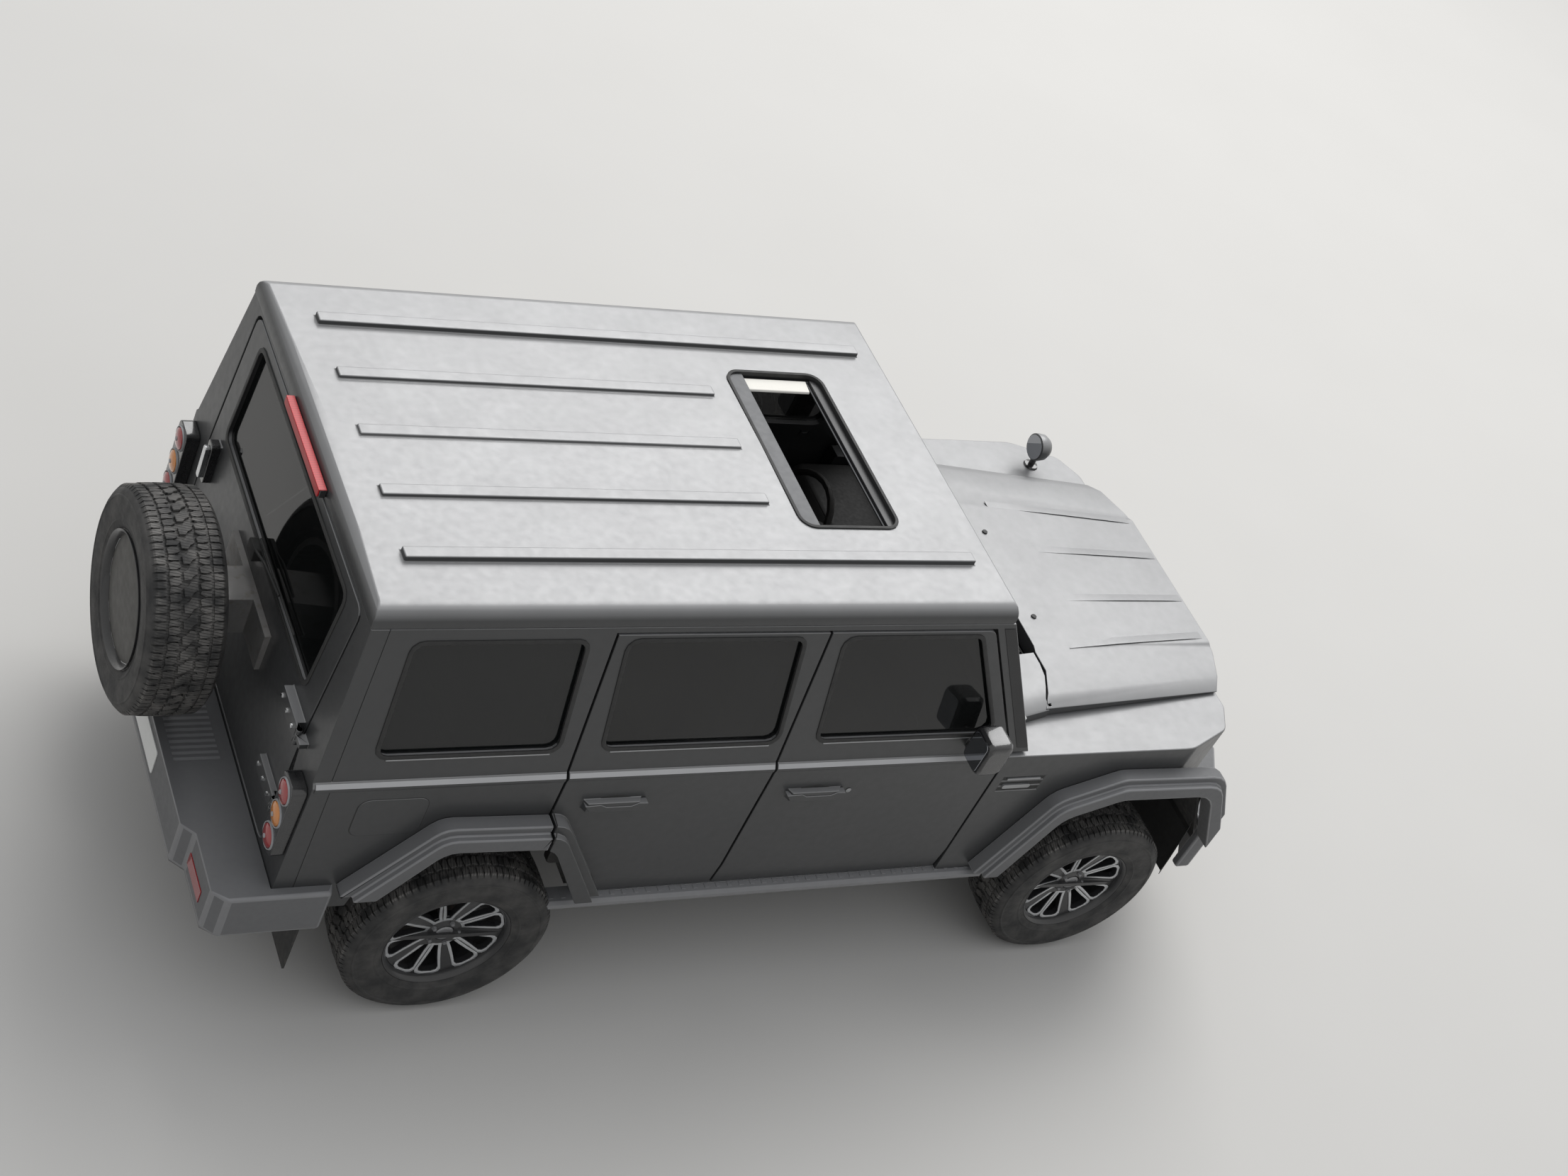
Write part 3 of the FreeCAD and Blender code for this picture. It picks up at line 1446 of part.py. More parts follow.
def chassis_frame():
    line = [
        (ahead(rail_rear_station), rail_rear_low_z),
        (ahead(rear_kick_top_station), rail_rear_low_z),
        (ahead(rear_kick_foot_station), rail_low_z),
        (front_axle_x - nose_kick_foot_setback, rail_low_z),
        (front_axle_x - nose_kick_top_setback, rail_front_low_z),
        (rail_front_x, rail_front_low_z),
    ]
    outline = line + [(x, z + rail_height) for x, z in reversed(line)]
    pieces = both_sides(prism_y(outline, rail_inner_y, rail_outer_y))
    pieces.append(crossmember(ahead(rail_rear_station), rail_rear_low_z, hitch_height))
    pieces.append(crossmember(ahead(axle_cross_station), rail_low_z + axle_cross_rise, cross_height))
    gearbox_cross_x = ahead(transfer_station - gearbox_cross_lead)
    pieces.append(crossmember(gearbox_cross_x, rail_low_z + gearbox_cross_rise, cross_height))
    pieces.append(crossmember(front_axle_x + engine_cross_reach, rail_front_low_z, cross_height))
    pieces.append(crossmember(front_axle_x + nose_cross_reach, rail_front_low_z, nose_cross_height))
    for station, low, high in ((tail_station + rear_mount_inset, rail_rear_low_z, load_floor_low_z),
                               (middle_mount_station, rail_low_z, floor_low_z),
                               (wheelbase - front_mount_setback, rail_low_z, floor_low_z)):
        x = ahead(station)
        post = block(x - mount_half, x + mount_half, rail_middle_y - mount_half, rail_middle_y + mount_half,
                     low + mount_overlap, high - seat_gap)
        pieces.extend(both_sides(post))
    for x in (front_axle_x - arm_reach, front_axle_x + arm_reach):
        foot = block(x - bracket_half, x + bracket_half, rail_inner_y, rail_outer_y, lower_arm_z - bracket_half,
                     rail_front_low_z + rail_height / 2)
        pieces.extend(both_sides(foot))
    frame = fused(pieces)
    for along in (-hitch_spacing_x / 2, hitch_spacing_x / 2):
        for across in (-hitch_spacing_y / 2, hitch_spacing_y / 2):
            x = ahead(rail_rear_station) + cross_length / 2 + along
            frame = frame.cut(rod_z(x, across, 0, overall_height, hitch_hole_radius))
    return frame


# Front suspension: two wishbones of plate and a damper on each side.
kingpin_inset = 90.0
arm_plate = 24.0
arm_bar = 34.0
arm_crotch = 68.0
upper_reach = 92.0
ball_radius = 20.0
ball_half_height = 20.0
damper_reach = 135.0
damper_radius = 26.0
damper_cap = 40.0
kingpin_y = wheel_y - kingpin_inset
pivot_y = rail_outer_y + seat_gap


def wishbone(reach, z):
    """V of plate from two pivots on the rail to the ball joint at the knuckle."""
    rear, front = front_axle_x - reach, front_axle_x + reach
    tip_low, tip_high = front_axle_x - ball_radius, front_axle_x + ball_radius
    outline = [
        (rear - arm_bar / 2, pivot_y),
        (rear + arm_bar / 2, pivot_y),
        (front_axle_x, kingpin_y - arm_crotch),
        (front - arm_bar / 2, pivot_y),
        (front + arm_bar / 2, pivot_y),
        (tip_high, kingpin_y),
        (tip_low, kingpin_y),
    ]
    plate = prism_z(outline, z - arm_plate / 2, z + arm_plate / 2)
    return plate.fuse(bar_z(front_axle_x, kingpin_y, z - ball_half_height, z + ball_half_height, ball_radius))


def front_suspension():
    x = front_axle_x + damper_reach
    y = pivot_y + damper_radius
    cap_low = rail_front_top_z + seat_gap
    damper = bar_z(x, y, lower_arm_z, cap_low + damper_cap / 2, damper_radius)
    cap = block(x - damper_radius, x + damper_radius, rail_middle_y, y + damper_radius, cap_low, cap_low + damper_cap)
    lower = fused([wishbone(arm_reach, lower_arm_z), damper, cap])
    return [lower, wishbone(upper_reach, upper_arm_z).removeSplitter()]


# Brake disc and stub axle, the same at all four wheels, made about the origin with the outside towards +Y.
stub_clearance = 0.06
stub_end_inset = 4.0
disc_thickness = 24.0
disc_offset = 34.0
disc_rim_room = 75.0


def brake_and_stub():
    inner = disc_offset - kingpin_inset
    reach = rim_radius - disc_rim_room
    outer = inner + disc_thickness
    disc = ring_of_flats([(0, inner), (reach, inner), (reach, outer), (0, outer)], wheel_sides)
    stub = rod_y(0, inner, rim_dish - stub_end_inset, 0, hub_bore_radius - stub_clearance)
    return disc.fuse(stub)


def at_hub(shape, axle_x, y):
    shape.translate(V(axle_x, y, hub_z))
    return shape


# Front knuckles, which steer about the kingpin line and carry the wheel stubs.
knuckle_half = 34.0
knuckle_depth = 20.0
knuckle_carrier_half = 46.0


def knuckle():
    low = lower_arm_z + ball_half_height + seat_gap
    high = upper_arm_z - ball_half_height - seat_gap
    upright = block(front_axle_x - knuckle_half, front_axle_x + knuckle_half, kingpin_y - knuckle_depth,
                    kingpin_y + knuckle_depth, low, high)
    half = knuckle_carrier_half
    carrier = block(front_axle_x - half, front_axle_x + half, kingpin_y, kingpin_y + disc_offset + disc_thickness / 2,
                    hub_z - half, hub_z + half)
    return fused([upright, carrier, at_hub(brake_and_stub(), front_axle_x, wheel_y)])


# Rear axle: a solid beam with its differential, trailing links and wheel stubs, and the springs that stand on it.
axle_radius = 44.0
differential_radius = 135.0
differential_half = 80.0
differential_sides = 12
link_radius = 22.0
link_side_gap = 60.0
link_front_station = 700.0
spring_side_gap = 70.0
spring_radius = 56.0
spring_plate = 14.0
spring_head_drop = 25.0


def differential(radius, half, centre):
    """Round housing on its side, in flats."""
    housing = ring_of_flats([(0, -half), (radius / 2, -half), (radius, 0), (radius / 2, half), (0, half)],
                            differential_sides)
    housing.translate(centre)
    return housing


def rear_axle():
    end_y = kingpin_y + disc_offset + disc_thickness / 2
    pieces = [bar_y(rear_axle_x, -end_y, end_y, hub_z, axle_radius)]
    pieces.append(differential(differential_radius, differential_half, V(rear_axle_x, 0, hub_z)))
    link = bar([V(rear_axle_x, rail_outer_y + link_side_gap, hub_z),
                V(ahead(link_front_station), pivot_y + link_radius, rail_low_z)], link_radius)
    for piece in (at_hub(brake_and_stub(), rear_axle_x, wheel_y), link):
        pieces.extend(both_sides(piece))
    return fused(pieces)


def rear_spring():
    """Spring and damper stack between the axle beam and an outrigger on the rail."""
    y = rail_outer_y + spring_side_gap
    low = hub_z + axle_radius + seat_gap
    high = rail_rear_low_z + rail_height - spring_head_drop
    foot = block(rear_axle_x - spring_radius, rear_axle_x + spring_radius, y - spring_radius, y + spring_radius,
                 low, low + spring_plate)
    core = bar_z(rear_axle_x, y, low, high, spring_radius / 2)
    arm = block(rear_axle_x - spring_radius, rear_axle_x + spring_radius, pivot_y, y + spring_radius,
                high, high + spring_plate)
    return fused([foot, core, arm])


# Engine as one plain block at its real place, on the front crossmember and rails.
engine_setback = 360.0
engine_length = 560.0
engine_side_gap = 90.0
engine_rise = 60.0
engine_height = 500.0
engine_ear_half = 50.0
engine_ear_height = 50.0
engine_rear_x = front_axle_x - engine_setback
engine_low_z = rail_front_low_z + engine_rise


def engine_block():
    half = rail_inner_y - engine_side_gap
    body = block(engine_rear_x, engine_rear_x + engine_length, -half, half, engine_low_z,
                 engine_low_z + engine_height)
    middle_x = engine_rear_x + engine_length / 2
    low = rail_front_top_z + seat_gap
    ear = block(middle_x - engine_ear_half, middle_x + engine_ear_half, -rail_middle_y, rail_middle_y,
                low, low + engine_ear_height)
    return fused([body, ear])


# Gearbox, transfer case, propeller shafts, front differential and half shafts.
gearbox_share = 0.3152
gearbox_rise = 84.0
gearbox_tail_share = 0.7
transfer_length = 250.0
transfer_half = 62.0
transfer_cover = 45.0
shaft_radius = 32.0
shaft_drop = 64.0
front_shaft_y = 110.0
front_shaft_drop = 48.0
front_shaft_radius = 26.0
front_differential_radius = 100.0
front_differential_half = 60.0
half_shaft_radius = 20.0
half_shaft_gap = 60.0
gearbox_z = rail_low_z + gearbox_rise
gearbox_radius = rail_inner_y * gearbox_share
front_shaft_z = rail_low_z - front_shaft_drop


def driveline():
    gearbox_rear = ahead(transfer_station) + transfer_length
    gearbox = bar([V(gearbox_rear, 0, gearbox_z), V(engine_rear_x - seat_gap, 0, gearbox_z)],
                  gearbox_radius * gearbox_tail_share, gearbox_radius)
    transfer = block(ahead(transfer_station), gearbox_rear, -transfer_half, front_shaft_y + transfer_cover,
                     front_shaft_z - shaft_radius, gearbox_z + gearbox_radius * gearbox_tail_share)
    rear_shaft = bar([V(rear_axle_x + differential_radius + axle_radius / 2, 0, hub_z),
                      V(ahead(transfer_station), 0, gearbox_z - shaft_drop)], shaft_radius)
    front_shaft = bar([V(gearbox_rear, front_shaft_y, front_shaft_z),
                       V(front_axle_x - front_differential_half, front_shaft_y, hub_z)], front_shaft_radius)
    housing = differential(front_differential_radius, front_differential_half, V(front_axle_x, front_shaft_y, hub_z))
    reach = kingpin_y - half_shaft_gap
    axle_shaft = bar_y(front_axle_x, -reach, reach, hub_z, half_shaft_radius)
    return fused([gearbox, transfer, rear_shaft, front_shaft, housing, axle_shaft])


# Exhaust: pipe on the right from the engine, silencer behind the axle and a tailpipe, hung from the rail.
exhaust_radius = 29.0
exhaust_share = 0.6212
exhaust_start_lead = 80.0
exhaust_head_drop = 87.0
exhaust_dip_setback = 140.0
exhaust_low_station = 480.0
exhaust_high_station = 200.0
exhaust_over_station = -230.0
silencer_station = -420.0
silencer_share = 0.2545
silencer_drop = 90.0
exhaust_drop = 48.0
exhaust_over_drop = 42.0
silencer_end_gap = 15.0
tailpipe_end_reach = 195.0
hanger_half = 12.0
hanger_station = 840.0
exhaust_y = -rail_inner_y * exhaust_share
silencer_radius = rail_inner_y * silencer_share


def exhaust():
    low_z = rail_low_z - exhaust_drop
    high_z = rail_rear_low_z - exhaust_over_drop
    end_z = rail_rear_low_z - silencer_drop
    route = [
        V(engine_rear_x + exhaust_start_lead, exhaust_y, engine_low_z - seat_gap),
        V(engine_rear_x + exhaust_start_lead, exhaust_y, engine_low_z - exhaust_head_drop),
        V(engine_rear_x - exhaust_dip_setback, exhaust_y, low_z),
        V(ahead(exhaust_low_station), exhaust_y, low_z),
        V(ahead(exhaust_high_station), exhaust_y, high_z),
        V(ahead(exhaust_over_station), exhaust_y, high_z),
        V(ahead(silencer_station), exhaust_y, end_z),
    ]
    silencer_end = V(ahead(tail_station - silencer_end_gap), exhaust_y, end_z)
    line = bar(route, exhaust_radius)
    silencer = bar([route[-1], silencer_end], silencer_radius)
    tail = bar([silencer_end, V(ahead(tail_station - tailpipe_end_reach), exhaust_y, end_z)], exhaust_radius)
    pieces = [line, silencer, tail]
    half = hanger_half
    for station, low, rail_bottom_z in ((hanger_station, low_z, rail_low_z),
                                        (silencer_station - silencer_radius, end_z, rail_rear_low_z)):
        x = ahead(station)
        z = rail_bottom_z + rail_height / 2
        pieces.append(block(x - half, x + half, exhaust_y - half, exhaust_y + half, low, z))
        pieces.append(block(x - half, x + half, seat_gap - rail_inner_y, exhaust_y + half, z - half, z + half))
    return fused(pieces)


# Fuel tank between the left rail and the shaft.
tank_station = 590.0
tank_length = 590.0
tank_side_gap = 70.0
tank_drop = 10.0
tank_height = 182.0
tank_corner = 30.0


def fuel_tank():
    low = rail_low_z - tank_drop
    high = low + tank_height
    inner, outer = tank_side_gap, rail_inner_y - seat_gap
    outline = [
        (inner, low, tank_corner),
        (outer, low, tank_corner),
        (outer, high, tank_corner),
        (inner, high, tank_corner),
    ]
    return prism_x(outline, ahead(tank_station), ahead(tank_station) + tank_length)


# Dashboard with the steering column.
dash_depth = 320.0
dash_low_z = 930.0
dash_high_z = 1224.0
dash_side_gap = 18.0
dash_foot_inset = 50.0
dash_brow = 100.0
dash_round = 40.0
wheel_setback = 100.0
wheel_z = 1270.0
column_tilt = 25.0
column_radius = 30.0
column_length = 300.0
column_hub_length = 50.0
grip_radius = 186.0
grip_thickness = 15.0
grip_sides = 24
grip_hub_radius = 48.0
grip_spoke_angles = [0.0, 180.0, 270.0]
console_half_width = 112.0
seat_side_room = 124.0
seat_outer_y = cabin_half_width - seat_side_room
seat_y = (console_half_width + seat_outer_y) / 2
seat_half_width = (seat_outer_y - console_half_width) / 2
dash_rear_station = cowl_gap_station - dash_depth


def column_point(distance):
    """Point on the steering column, ahead of the steering wheel's centre."""
    tilt = math.radians(column_tilt)
    return V(ahead(dash_rear_station - wheel_setback) + distance * math.cos(tilt), seat_y,
             wheel_z - distance * math.sin(tilt))


def dashboard():
    front = ahead(firewall_station) - floor_thickness - seat_gap
    rear = ahead(dash_rear_station)
    outline = [
        (rear + dash_foot_inset, dash_low_z),
        (front, dash_low_z),
        (front, dash_high_z),
        (rear + dash_brow, dash_high_z, dash_round),
        (rear, dash_high_z - dash_brow, dash_round),
    ]
    half = cabin_half_width - dash_side_gap
    column = bar([column_point(column_hub_length + seat_gap), column_point(column_length)], column_radius)
    return fused([prism_y(outline, -half, half), column])


def steering_wheel():
    half = grip_thickness / 2
    grip = ring_of_flats(
        [
            (grip_radius - grip_thickness, 0),
            (grip_radius - half, -grip_thickness),
            (grip_radius + half, -grip_thickness),
            (grip_radius + grip_thickness, 0),
            (grip_radius + half, grip_thickness),
            (grip_radius - half, grip_thickness),
        ],
        grip_sides,
    )
    pieces = [grip, bar_y(0, -column_hub_length, grip_thickness, 0, grip_hub_radius)]
    for angle in grip_spoke_angles:
        spoke = block(0, grip_radius, -grip_thickness, half, -grip_thickness, grip_thickness)
        spoke.rotate(V(0, 0, 0), V(0, 1, 0), -angle)
        pieces.append(spoke)
    wheel = fused(pieces)
    wheel.rotate(V(0, 0, 0), V(0, 0, 1), quarter_turn)
    wheel.rotate(V(0, 0, 0), V(0, 1, 0), column_tilt)
    wheel.translate(column_point(0))
    return wheel


# Seats as plain soft forms: base, back and head restraint.
seat_rear_gap = 40.0
seat_length_share = 0.7123
seat_base_z = 860.0
seat_top_z = 1000.0
seat_back_drop = 351.0
seat_back_thickness = 120.0
seat_back_lean = 150.0
restraint_half_width = 130.0
restraint_height = 150.0
seat_round = 34.0
bench_gap = 5.0
bench_length_share = 0.6923
bench_side_gap = 18.0
bench_restraint_share = 0.62
seat_station = pillar_gap_station - seat_rear_gap
bench_station = quarter_gap_station + bench_gap
seat_back_z = rail_z - seat_back_drop
cushion_low_z = floor_top_z + seat_gap


def seat_solids(station, length, half_width, middle_y, restraints):
    x = ahead(station)
    front = x + length
    foot_x = x - seat_gap
    top_x = foot_x - seat_back_lean + seat_round
    cushion = prism_y([(x, cushion_low_z), (front, cushion_low_z), (front, seat_top_z - seat_round),
                       (front - seat_round, seat_top_z), (x, seat_top_z)],
                      middle_y - half_width, middle_y + half_width)
    back = prism_y([(foot_x - seat_back_thickness, seat_base_z), (foot_x, seat_base_z), (foot_x, seat_top_z),
                    (top_x, seat_back_z), (top_x - seat_back_thickness, seat_back_z)],
                   middle_y - half_width, middle_y + half_width)
    solids = [cushion, back]
    for offset in restraints:
        low = seat_back_z + seat_gap
        y = middle_y + offset
        solids.append(block(top_x - seat_back_thickness, top_x - seat_round / 2, y - restraint_half_width,
                            y + restraint_half_width, low, low + restraint_height))
    return solids


def front_seats():
    length = seat_length_share * (dash_rear_station - seat_station)
    left = seat_solids(seat_station, length, seat_half_width, seat_y, [0])
    return left + [mirrored(solid) for solid in left]


def rear_bench():
    length = bench_length_share * (seat_station - seat_back_thickness - bench_station)
    half_width = rear_cheek_y - liner_wall - bench_side_gap
    place = bench_restraint_share * half_width
    return seat_solids(bench_station, length, half_width, 0, [-place, place])


# Small convex mirror on a stalk on the left fender.
fender_mirror_reach = 184.0
fender_mirror_inset = 150.0
stalk_half = 13.0
stalk_height = 70.0
mirror_head = 62.0
mirror_head_corner = 24.0


def fender_mirror():
    x = front_axle_x + fender_mirror_reach
    y = body_half_width - fender_mirror_inset
    foot_z = fender_top_z + seat_gap
    stalk = block(x - stalk_half, x + stalk_half, y - stalk_half, y + stalk_half, foot_z, foot_z + stalk_height)
    corner = mirror_head_corner
    low, high = foot_z + stalk_height - corner, foot_z + stalk_height - corner + 2 * mirror_head
    outline = [
        (y - mirror_head + corner, low), (y + mirror_head - corner, low), (y + mirror_head, low + corner),
        (y + mirror_head, high - corner), (y + mirror_head - corner, high), (y - mirror_head + corner, high),
        (y - mirror_head, high - corner), (y - mirror_head, low + corner),
    ]
    return fused([stalk, prism_x(outline, x - mirror_head, x + mirror_head / 2)])


os.makedirs("parts", exist_ok=True)
save("roof", [roof()])
save("sunroof_frame", [sunroof_frame()])
save("rear_frame", [rear_frame()])
save("body_sides", both_sides(body_side()))
save("floor_pan", [floor_pan()])
save("cowl", [cowl()])
save("fixed_glass", [windscreen()] + both_sides(quarter_pane()))
save("fenders", both_sides(fender()))
save("wheel_flares", both_sides(rear_fixed_flare()) + both_sides(front_flare()))
save("wheel_liners", both_sides(rear_liner()) + both_sides(front_liner()) + both_sides(mud_flap()))
save("front_panel", [front_panel()])
save("headlamps", both_sides(headlamp()))
save("tail_lamps", both_sides(tail_lamp()) + [high_lamp()])
save("front_bumper", [front_bumper()])
save("rear_bumper", [rear_bumper()])
save("chassis_frame", [chassis_frame()])
left_suspension = front_suspension()
save("front_suspension", left_suspension + [mirrored(shape) for shape in left_suspension])
save("rear_axle", [rear_axle()] + both_sides(rear_spring()))
save("engine_block", [engine_block()])
save("driveline", [driveline()])
save("exhaust", [exhaust()])
save("fuel_tank", [fuel_tank()])
save("dashboard", [dashboard()])
save("seats", front_seats() + rear_bench())
save("fender_mirror", [fender_mirror()])
save("steering_wheel", [steering_wheel()])
save("bonnet", [bonnet()])
save("tailgate", [tailgate()])
save("tailgate_glass", [tailgate_glass()])
save("spare_tyre", [on_spare(tyre())])
save("spare_rim", [spare_rim()])

span = (ahead(tail_station), ahead(cowl_gap_station))
left_pieces = [
    ("door_front", front_door()),
    ("door_rear", rear_door()),
    ("glass_front", pane(front_window(seat_gap), *span)),
    ("glass_rear", pane(rear_window(seat_gap), *span)),
    ("knuckle", knuckle()),
]
for end, axle_x in (("front", front_axle_x), ("rear", rear_axle_x)):
    left_pieces.append(("tyre_" + end, at_hub(tyre(), axle_x, wheel_y)))
    left_pieces.append(("rim_" + end, at_hub(rim(), axle_x, wheel_y)))
for name, shape in left_pieces:
    save(name + "_left", [shape])
    save(name + "_right", [mirrored(shape)])
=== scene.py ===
import math
import bmesh
import bpy
from mathutils import Matrix, Vector
from mathutils.bvhtree import BVHTree


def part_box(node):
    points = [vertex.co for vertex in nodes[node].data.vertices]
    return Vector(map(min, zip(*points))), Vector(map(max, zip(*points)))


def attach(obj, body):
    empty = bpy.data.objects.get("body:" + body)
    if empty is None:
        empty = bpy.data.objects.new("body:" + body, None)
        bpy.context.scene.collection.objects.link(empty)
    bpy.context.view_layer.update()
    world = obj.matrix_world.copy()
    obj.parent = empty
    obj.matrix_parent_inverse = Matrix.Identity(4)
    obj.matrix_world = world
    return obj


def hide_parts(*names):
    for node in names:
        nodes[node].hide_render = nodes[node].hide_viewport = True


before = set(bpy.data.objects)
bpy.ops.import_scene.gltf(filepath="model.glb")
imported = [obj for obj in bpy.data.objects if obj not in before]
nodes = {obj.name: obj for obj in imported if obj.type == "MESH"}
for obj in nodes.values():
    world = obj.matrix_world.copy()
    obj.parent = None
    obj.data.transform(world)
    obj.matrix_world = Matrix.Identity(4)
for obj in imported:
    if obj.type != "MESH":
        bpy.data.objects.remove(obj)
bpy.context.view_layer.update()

# Camera. It stands high behind the vehicle's right rear corner, as the photograph was taken,
# with a lens of about 53 mm on a full frame.
camera_right = (0.85741947, -0.35661905, 0.37101846)
camera_up = (-0.00072707, 0.72011857, 0.69385065)
camera_back = (-0.51461764, -0.59519081, 0.6171844)
camera_place = (-4.4314, -5.3236, 6.7614)
camera_data = bpy.data.cameras.new("camera")
camera_data.sensor_fit = "HORIZONTAL"
camera_data.sensor_width = 36.0
camera_data.lens = 53.24
camera_data.clip_end = 200.0


def stood(name, data, hold=None):
    """A new object in the scene, held by its matrix where one is given."""
    thing = bpy.data.objects.new(name, data)
    bpy.context.collection.objects.link(thing)
    if hold is not None:
        thing.matrix_world = hold
        bpy.context.view_layer.update()
    return thing


camera_hold = Matrix((*zip(camera_right, camera_up, camera_back, camera_place), (0.0, 0.0, 0.0, 1.0)))
camera = stood("camera", camera_data, camera_hold)
bpy.context.scene.camera = camera
bpy.context.scene.view_settings.view_transform = "Standard"


# Studio floor. A pale seamless sheet far wider than the vehicle, with the shader tools
# that every finish below is made with.
class Value:
    """One output of a shader node, which takes part in sums, products and comparisons."""

    def __init__(self, finish, socket):
        self.finish = finish
        self.socket = socket

    def __add__(self, other):
        return self.finish.maths("ADD", self, other)

    __radd__ = __add__

    def __sub__(self, other):
        return self.finish.maths("SUBTRACT", self, other)

    def __rsub__(self, other):
        return self.finish.maths("SUBTRACT", other, self)

    def __mul__(self, other):
        return self.finish.maths("MULTIPLY", self, other)

    __rmul__ = __mul__

    def __gt__(self, other):
        return self.finish.maths("GREATER_THAN", self, other)

    def __lt__(self, other):
        return self.finish.maths("LESS_THAN", self, other)


class Finish:
    """A material in the making: node() adds a shader node, and set() feeds the surface."""

    def __init__(self, name):
        self.material = bpy.data.materials.new(name)
        self.material.use_nodes = True
        self.tree = self.material.node_tree
        self.surface = self.tree.nodes["Principled BSDF"]

    def feed(self, socket, value):
        if isinstance(value, Value):
            self.tree.links.new(value.socket, socket)
        elif isinstance(value, tuple):
            socket.default_value = (*value, 1.0)
        else:
            socket.default_value = value

    def node(self, kind, settings, inputs, output=0):
        node = self.tree.nodes.new("ShaderNode" + kind)
        for key, value in settings.items():
            setattr(node, key, value)
        for key, value in inputs.items():
            self.feed(node.inputs[key], value)
        return Value(self, node.outputs[output])

    def place(self):
        """Position on the object, in metres."""
        return self.node("TexCoord", {}, {}, "Object")

    def parts(self, vector):
        """The three numbers of a vector."""
        return [self.node("SeparateXYZ", {}, {"Vector": vector}, axis) for axis in "XYZ"]

    def maths(self, operation, first, second=0.0):
        return self.node("Math", {"operation": operation}, {0: first, 1: second})

    def noise(self, scale, detail=3.0):
        return self.node("TexNoise", {}, {"Vector": self.place(), "Scale": scale, "Detail": detail}, "Fac")

    def cells(self, scale):
        """Distance to the nearest edge of small cells, as in leather."""
        size = {"Vector": self.place(), "Scale": scale}
        return self.node("TexVoronoi", {"feature": "DISTANCE_TO_EDGE"}, size, "Distance")

    def spread(self, value, low, high):
        """The value stretched so that low becomes 0 and high becomes 1."""
        return self.node("MapRange", {}, {"Value": value, "From Min": low, "From Max": high})

    def between(self, factor, first, second):
        """Blend of two colours."""
        return self.node("Mix", {"data_type": "RGBA"}, {0: factor, 6: first, 7: second}, 2)

    def bump(self, height, distance, strength=1.0):
        normal = self.node("Bump", {}, {"Height": height, "Distance": distance, "Strength": strength},
                           "Normal")
        self.feed(self.surface.inputs["Normal"], normal)

    def set(self, **values):
        for key, value in values.items():
            self.feed(self.surface.inputs[key.replace("_", " ").title()], value)


def wear(obj, finish):
    """Give every face of an object one finish."""
    obj.data.materials.clear()
    obj.data.materials.append(finish.material)


floor_finish = Finish("floor")
floor_tone = floor_finish.between(floor_finish.noise(0.9), (0.44, 0.43, 0.41), (0.46, 0.45, 0.43))
floor_finish.set(base_color=floor_tone, roughness=0.9)
floor_half = 60
floor_mesh = bpy.data.meshes.new("floor")
floor_corners = [(-floor_half, -floor_half, 0), (floor_half, -floor_half, 0),
                 (floor_half, floor_half, 0), (-floor_half, floor_half, 0)]
floor_mesh.from_pydata(floor_corners, [], [(0, 1, 2, 3)])
floor = stood("floor", floor_mesh)
wear(floor, floor_finish)

# Studio light. One large soft panel above the far front corner, and a world that is bright overhead
# and darker towards the horizon. Only light that has met a dull surface sees that world: the camera,
# mirrors and glass see a plain pale background.
world = bpy.data.worlds.new("studio")
world.use_nodes = True
sky = Finish("sky")
sky.tree = world.node_tree
sky.surface = world.node_tree.nodes["Background"]
sky_height = sky.parts(sky.node("TexCoord", {}, {}, "Generated"))[2]
sky_glow = sky.between(sky.spread(sky_height, 0.05, 0.85), (0.24, 0.25, 0.26), (0.98, 1.0, 1.04))
sky_seen = sky.node("LightPath", {}, {}, "Is Camera Ray")
for ray in ("Is Glossy Ray", "Is Transmission Ray"):
    sky_seen = sky_seen + sky.node("LightPath", {}, {}, ray)
sky.feed(sky.surface.inputs["Color"], sky.between(sky_seen, sky_glow, (0.7, 0.7, 0.69)))
sky.surface.inputs["Strength"].default_value = 1.0
bpy.data.materials.remove(sky.material)
bpy.context.scene.world = world
panel_data = bpy.data.lights.new("panel", "AREA")
panel_data.shape = "RECTANGLE"
panel_data.size = 17.0
panel_data.size_y = 17.0
panel_data.energy = 4200.0
panel = stood("panel", panel_data)
panel.location = (7.6, 9.6, 17.0)
panel.rotation_euler = Vector((7.6, 9.6, 16.0)).to_track_quat("Z", "Y").to_euler()


# Painted body shell. Pressed steel panels in satin grey enamel, with rolled edges and a pale film where they
# lie flat, which is partly fine dust and partly a painted sheen of the sky. Each skin is made from its
# imported solid.
paint = Finish("paint")
paint_cloud = paint.noise(2.2, 4.0)
paint_grain = paint.noise(900.0, 2.0)
paint_up = paint.node("SeparateXYZ", {}, {"Vector": paint.node("NewGeometry", {}, {}, "Normal")}, "Z")
# Upward faces are painted much paler: partly dust, partly a painted sheen of the sky on them.
paint_dust_and_sheen = paint.spread(paint_up, 0.25, 0.8) * paint.spread(paint.noise(5.0, 6.0), -2.2, 1.1)
paint_base = paint.between(paint_cloud, (0.044, 0.045, 0.046), (0.053, 0.054, 0.055))
paint.set(
    base_color=paint.between(paint_dust_and_sheen * 0.6, paint_base, (0.4, 0.4, 0.402)),
    metallic=0.35,
    roughness=paint.spread(paint.noise(30.0, 4.0), -1.6, 2.6),
    coat_weight=0.45,
    coat_roughness=0.22,
)
paint.bump(paint_grain, 0.00012, 0.25)


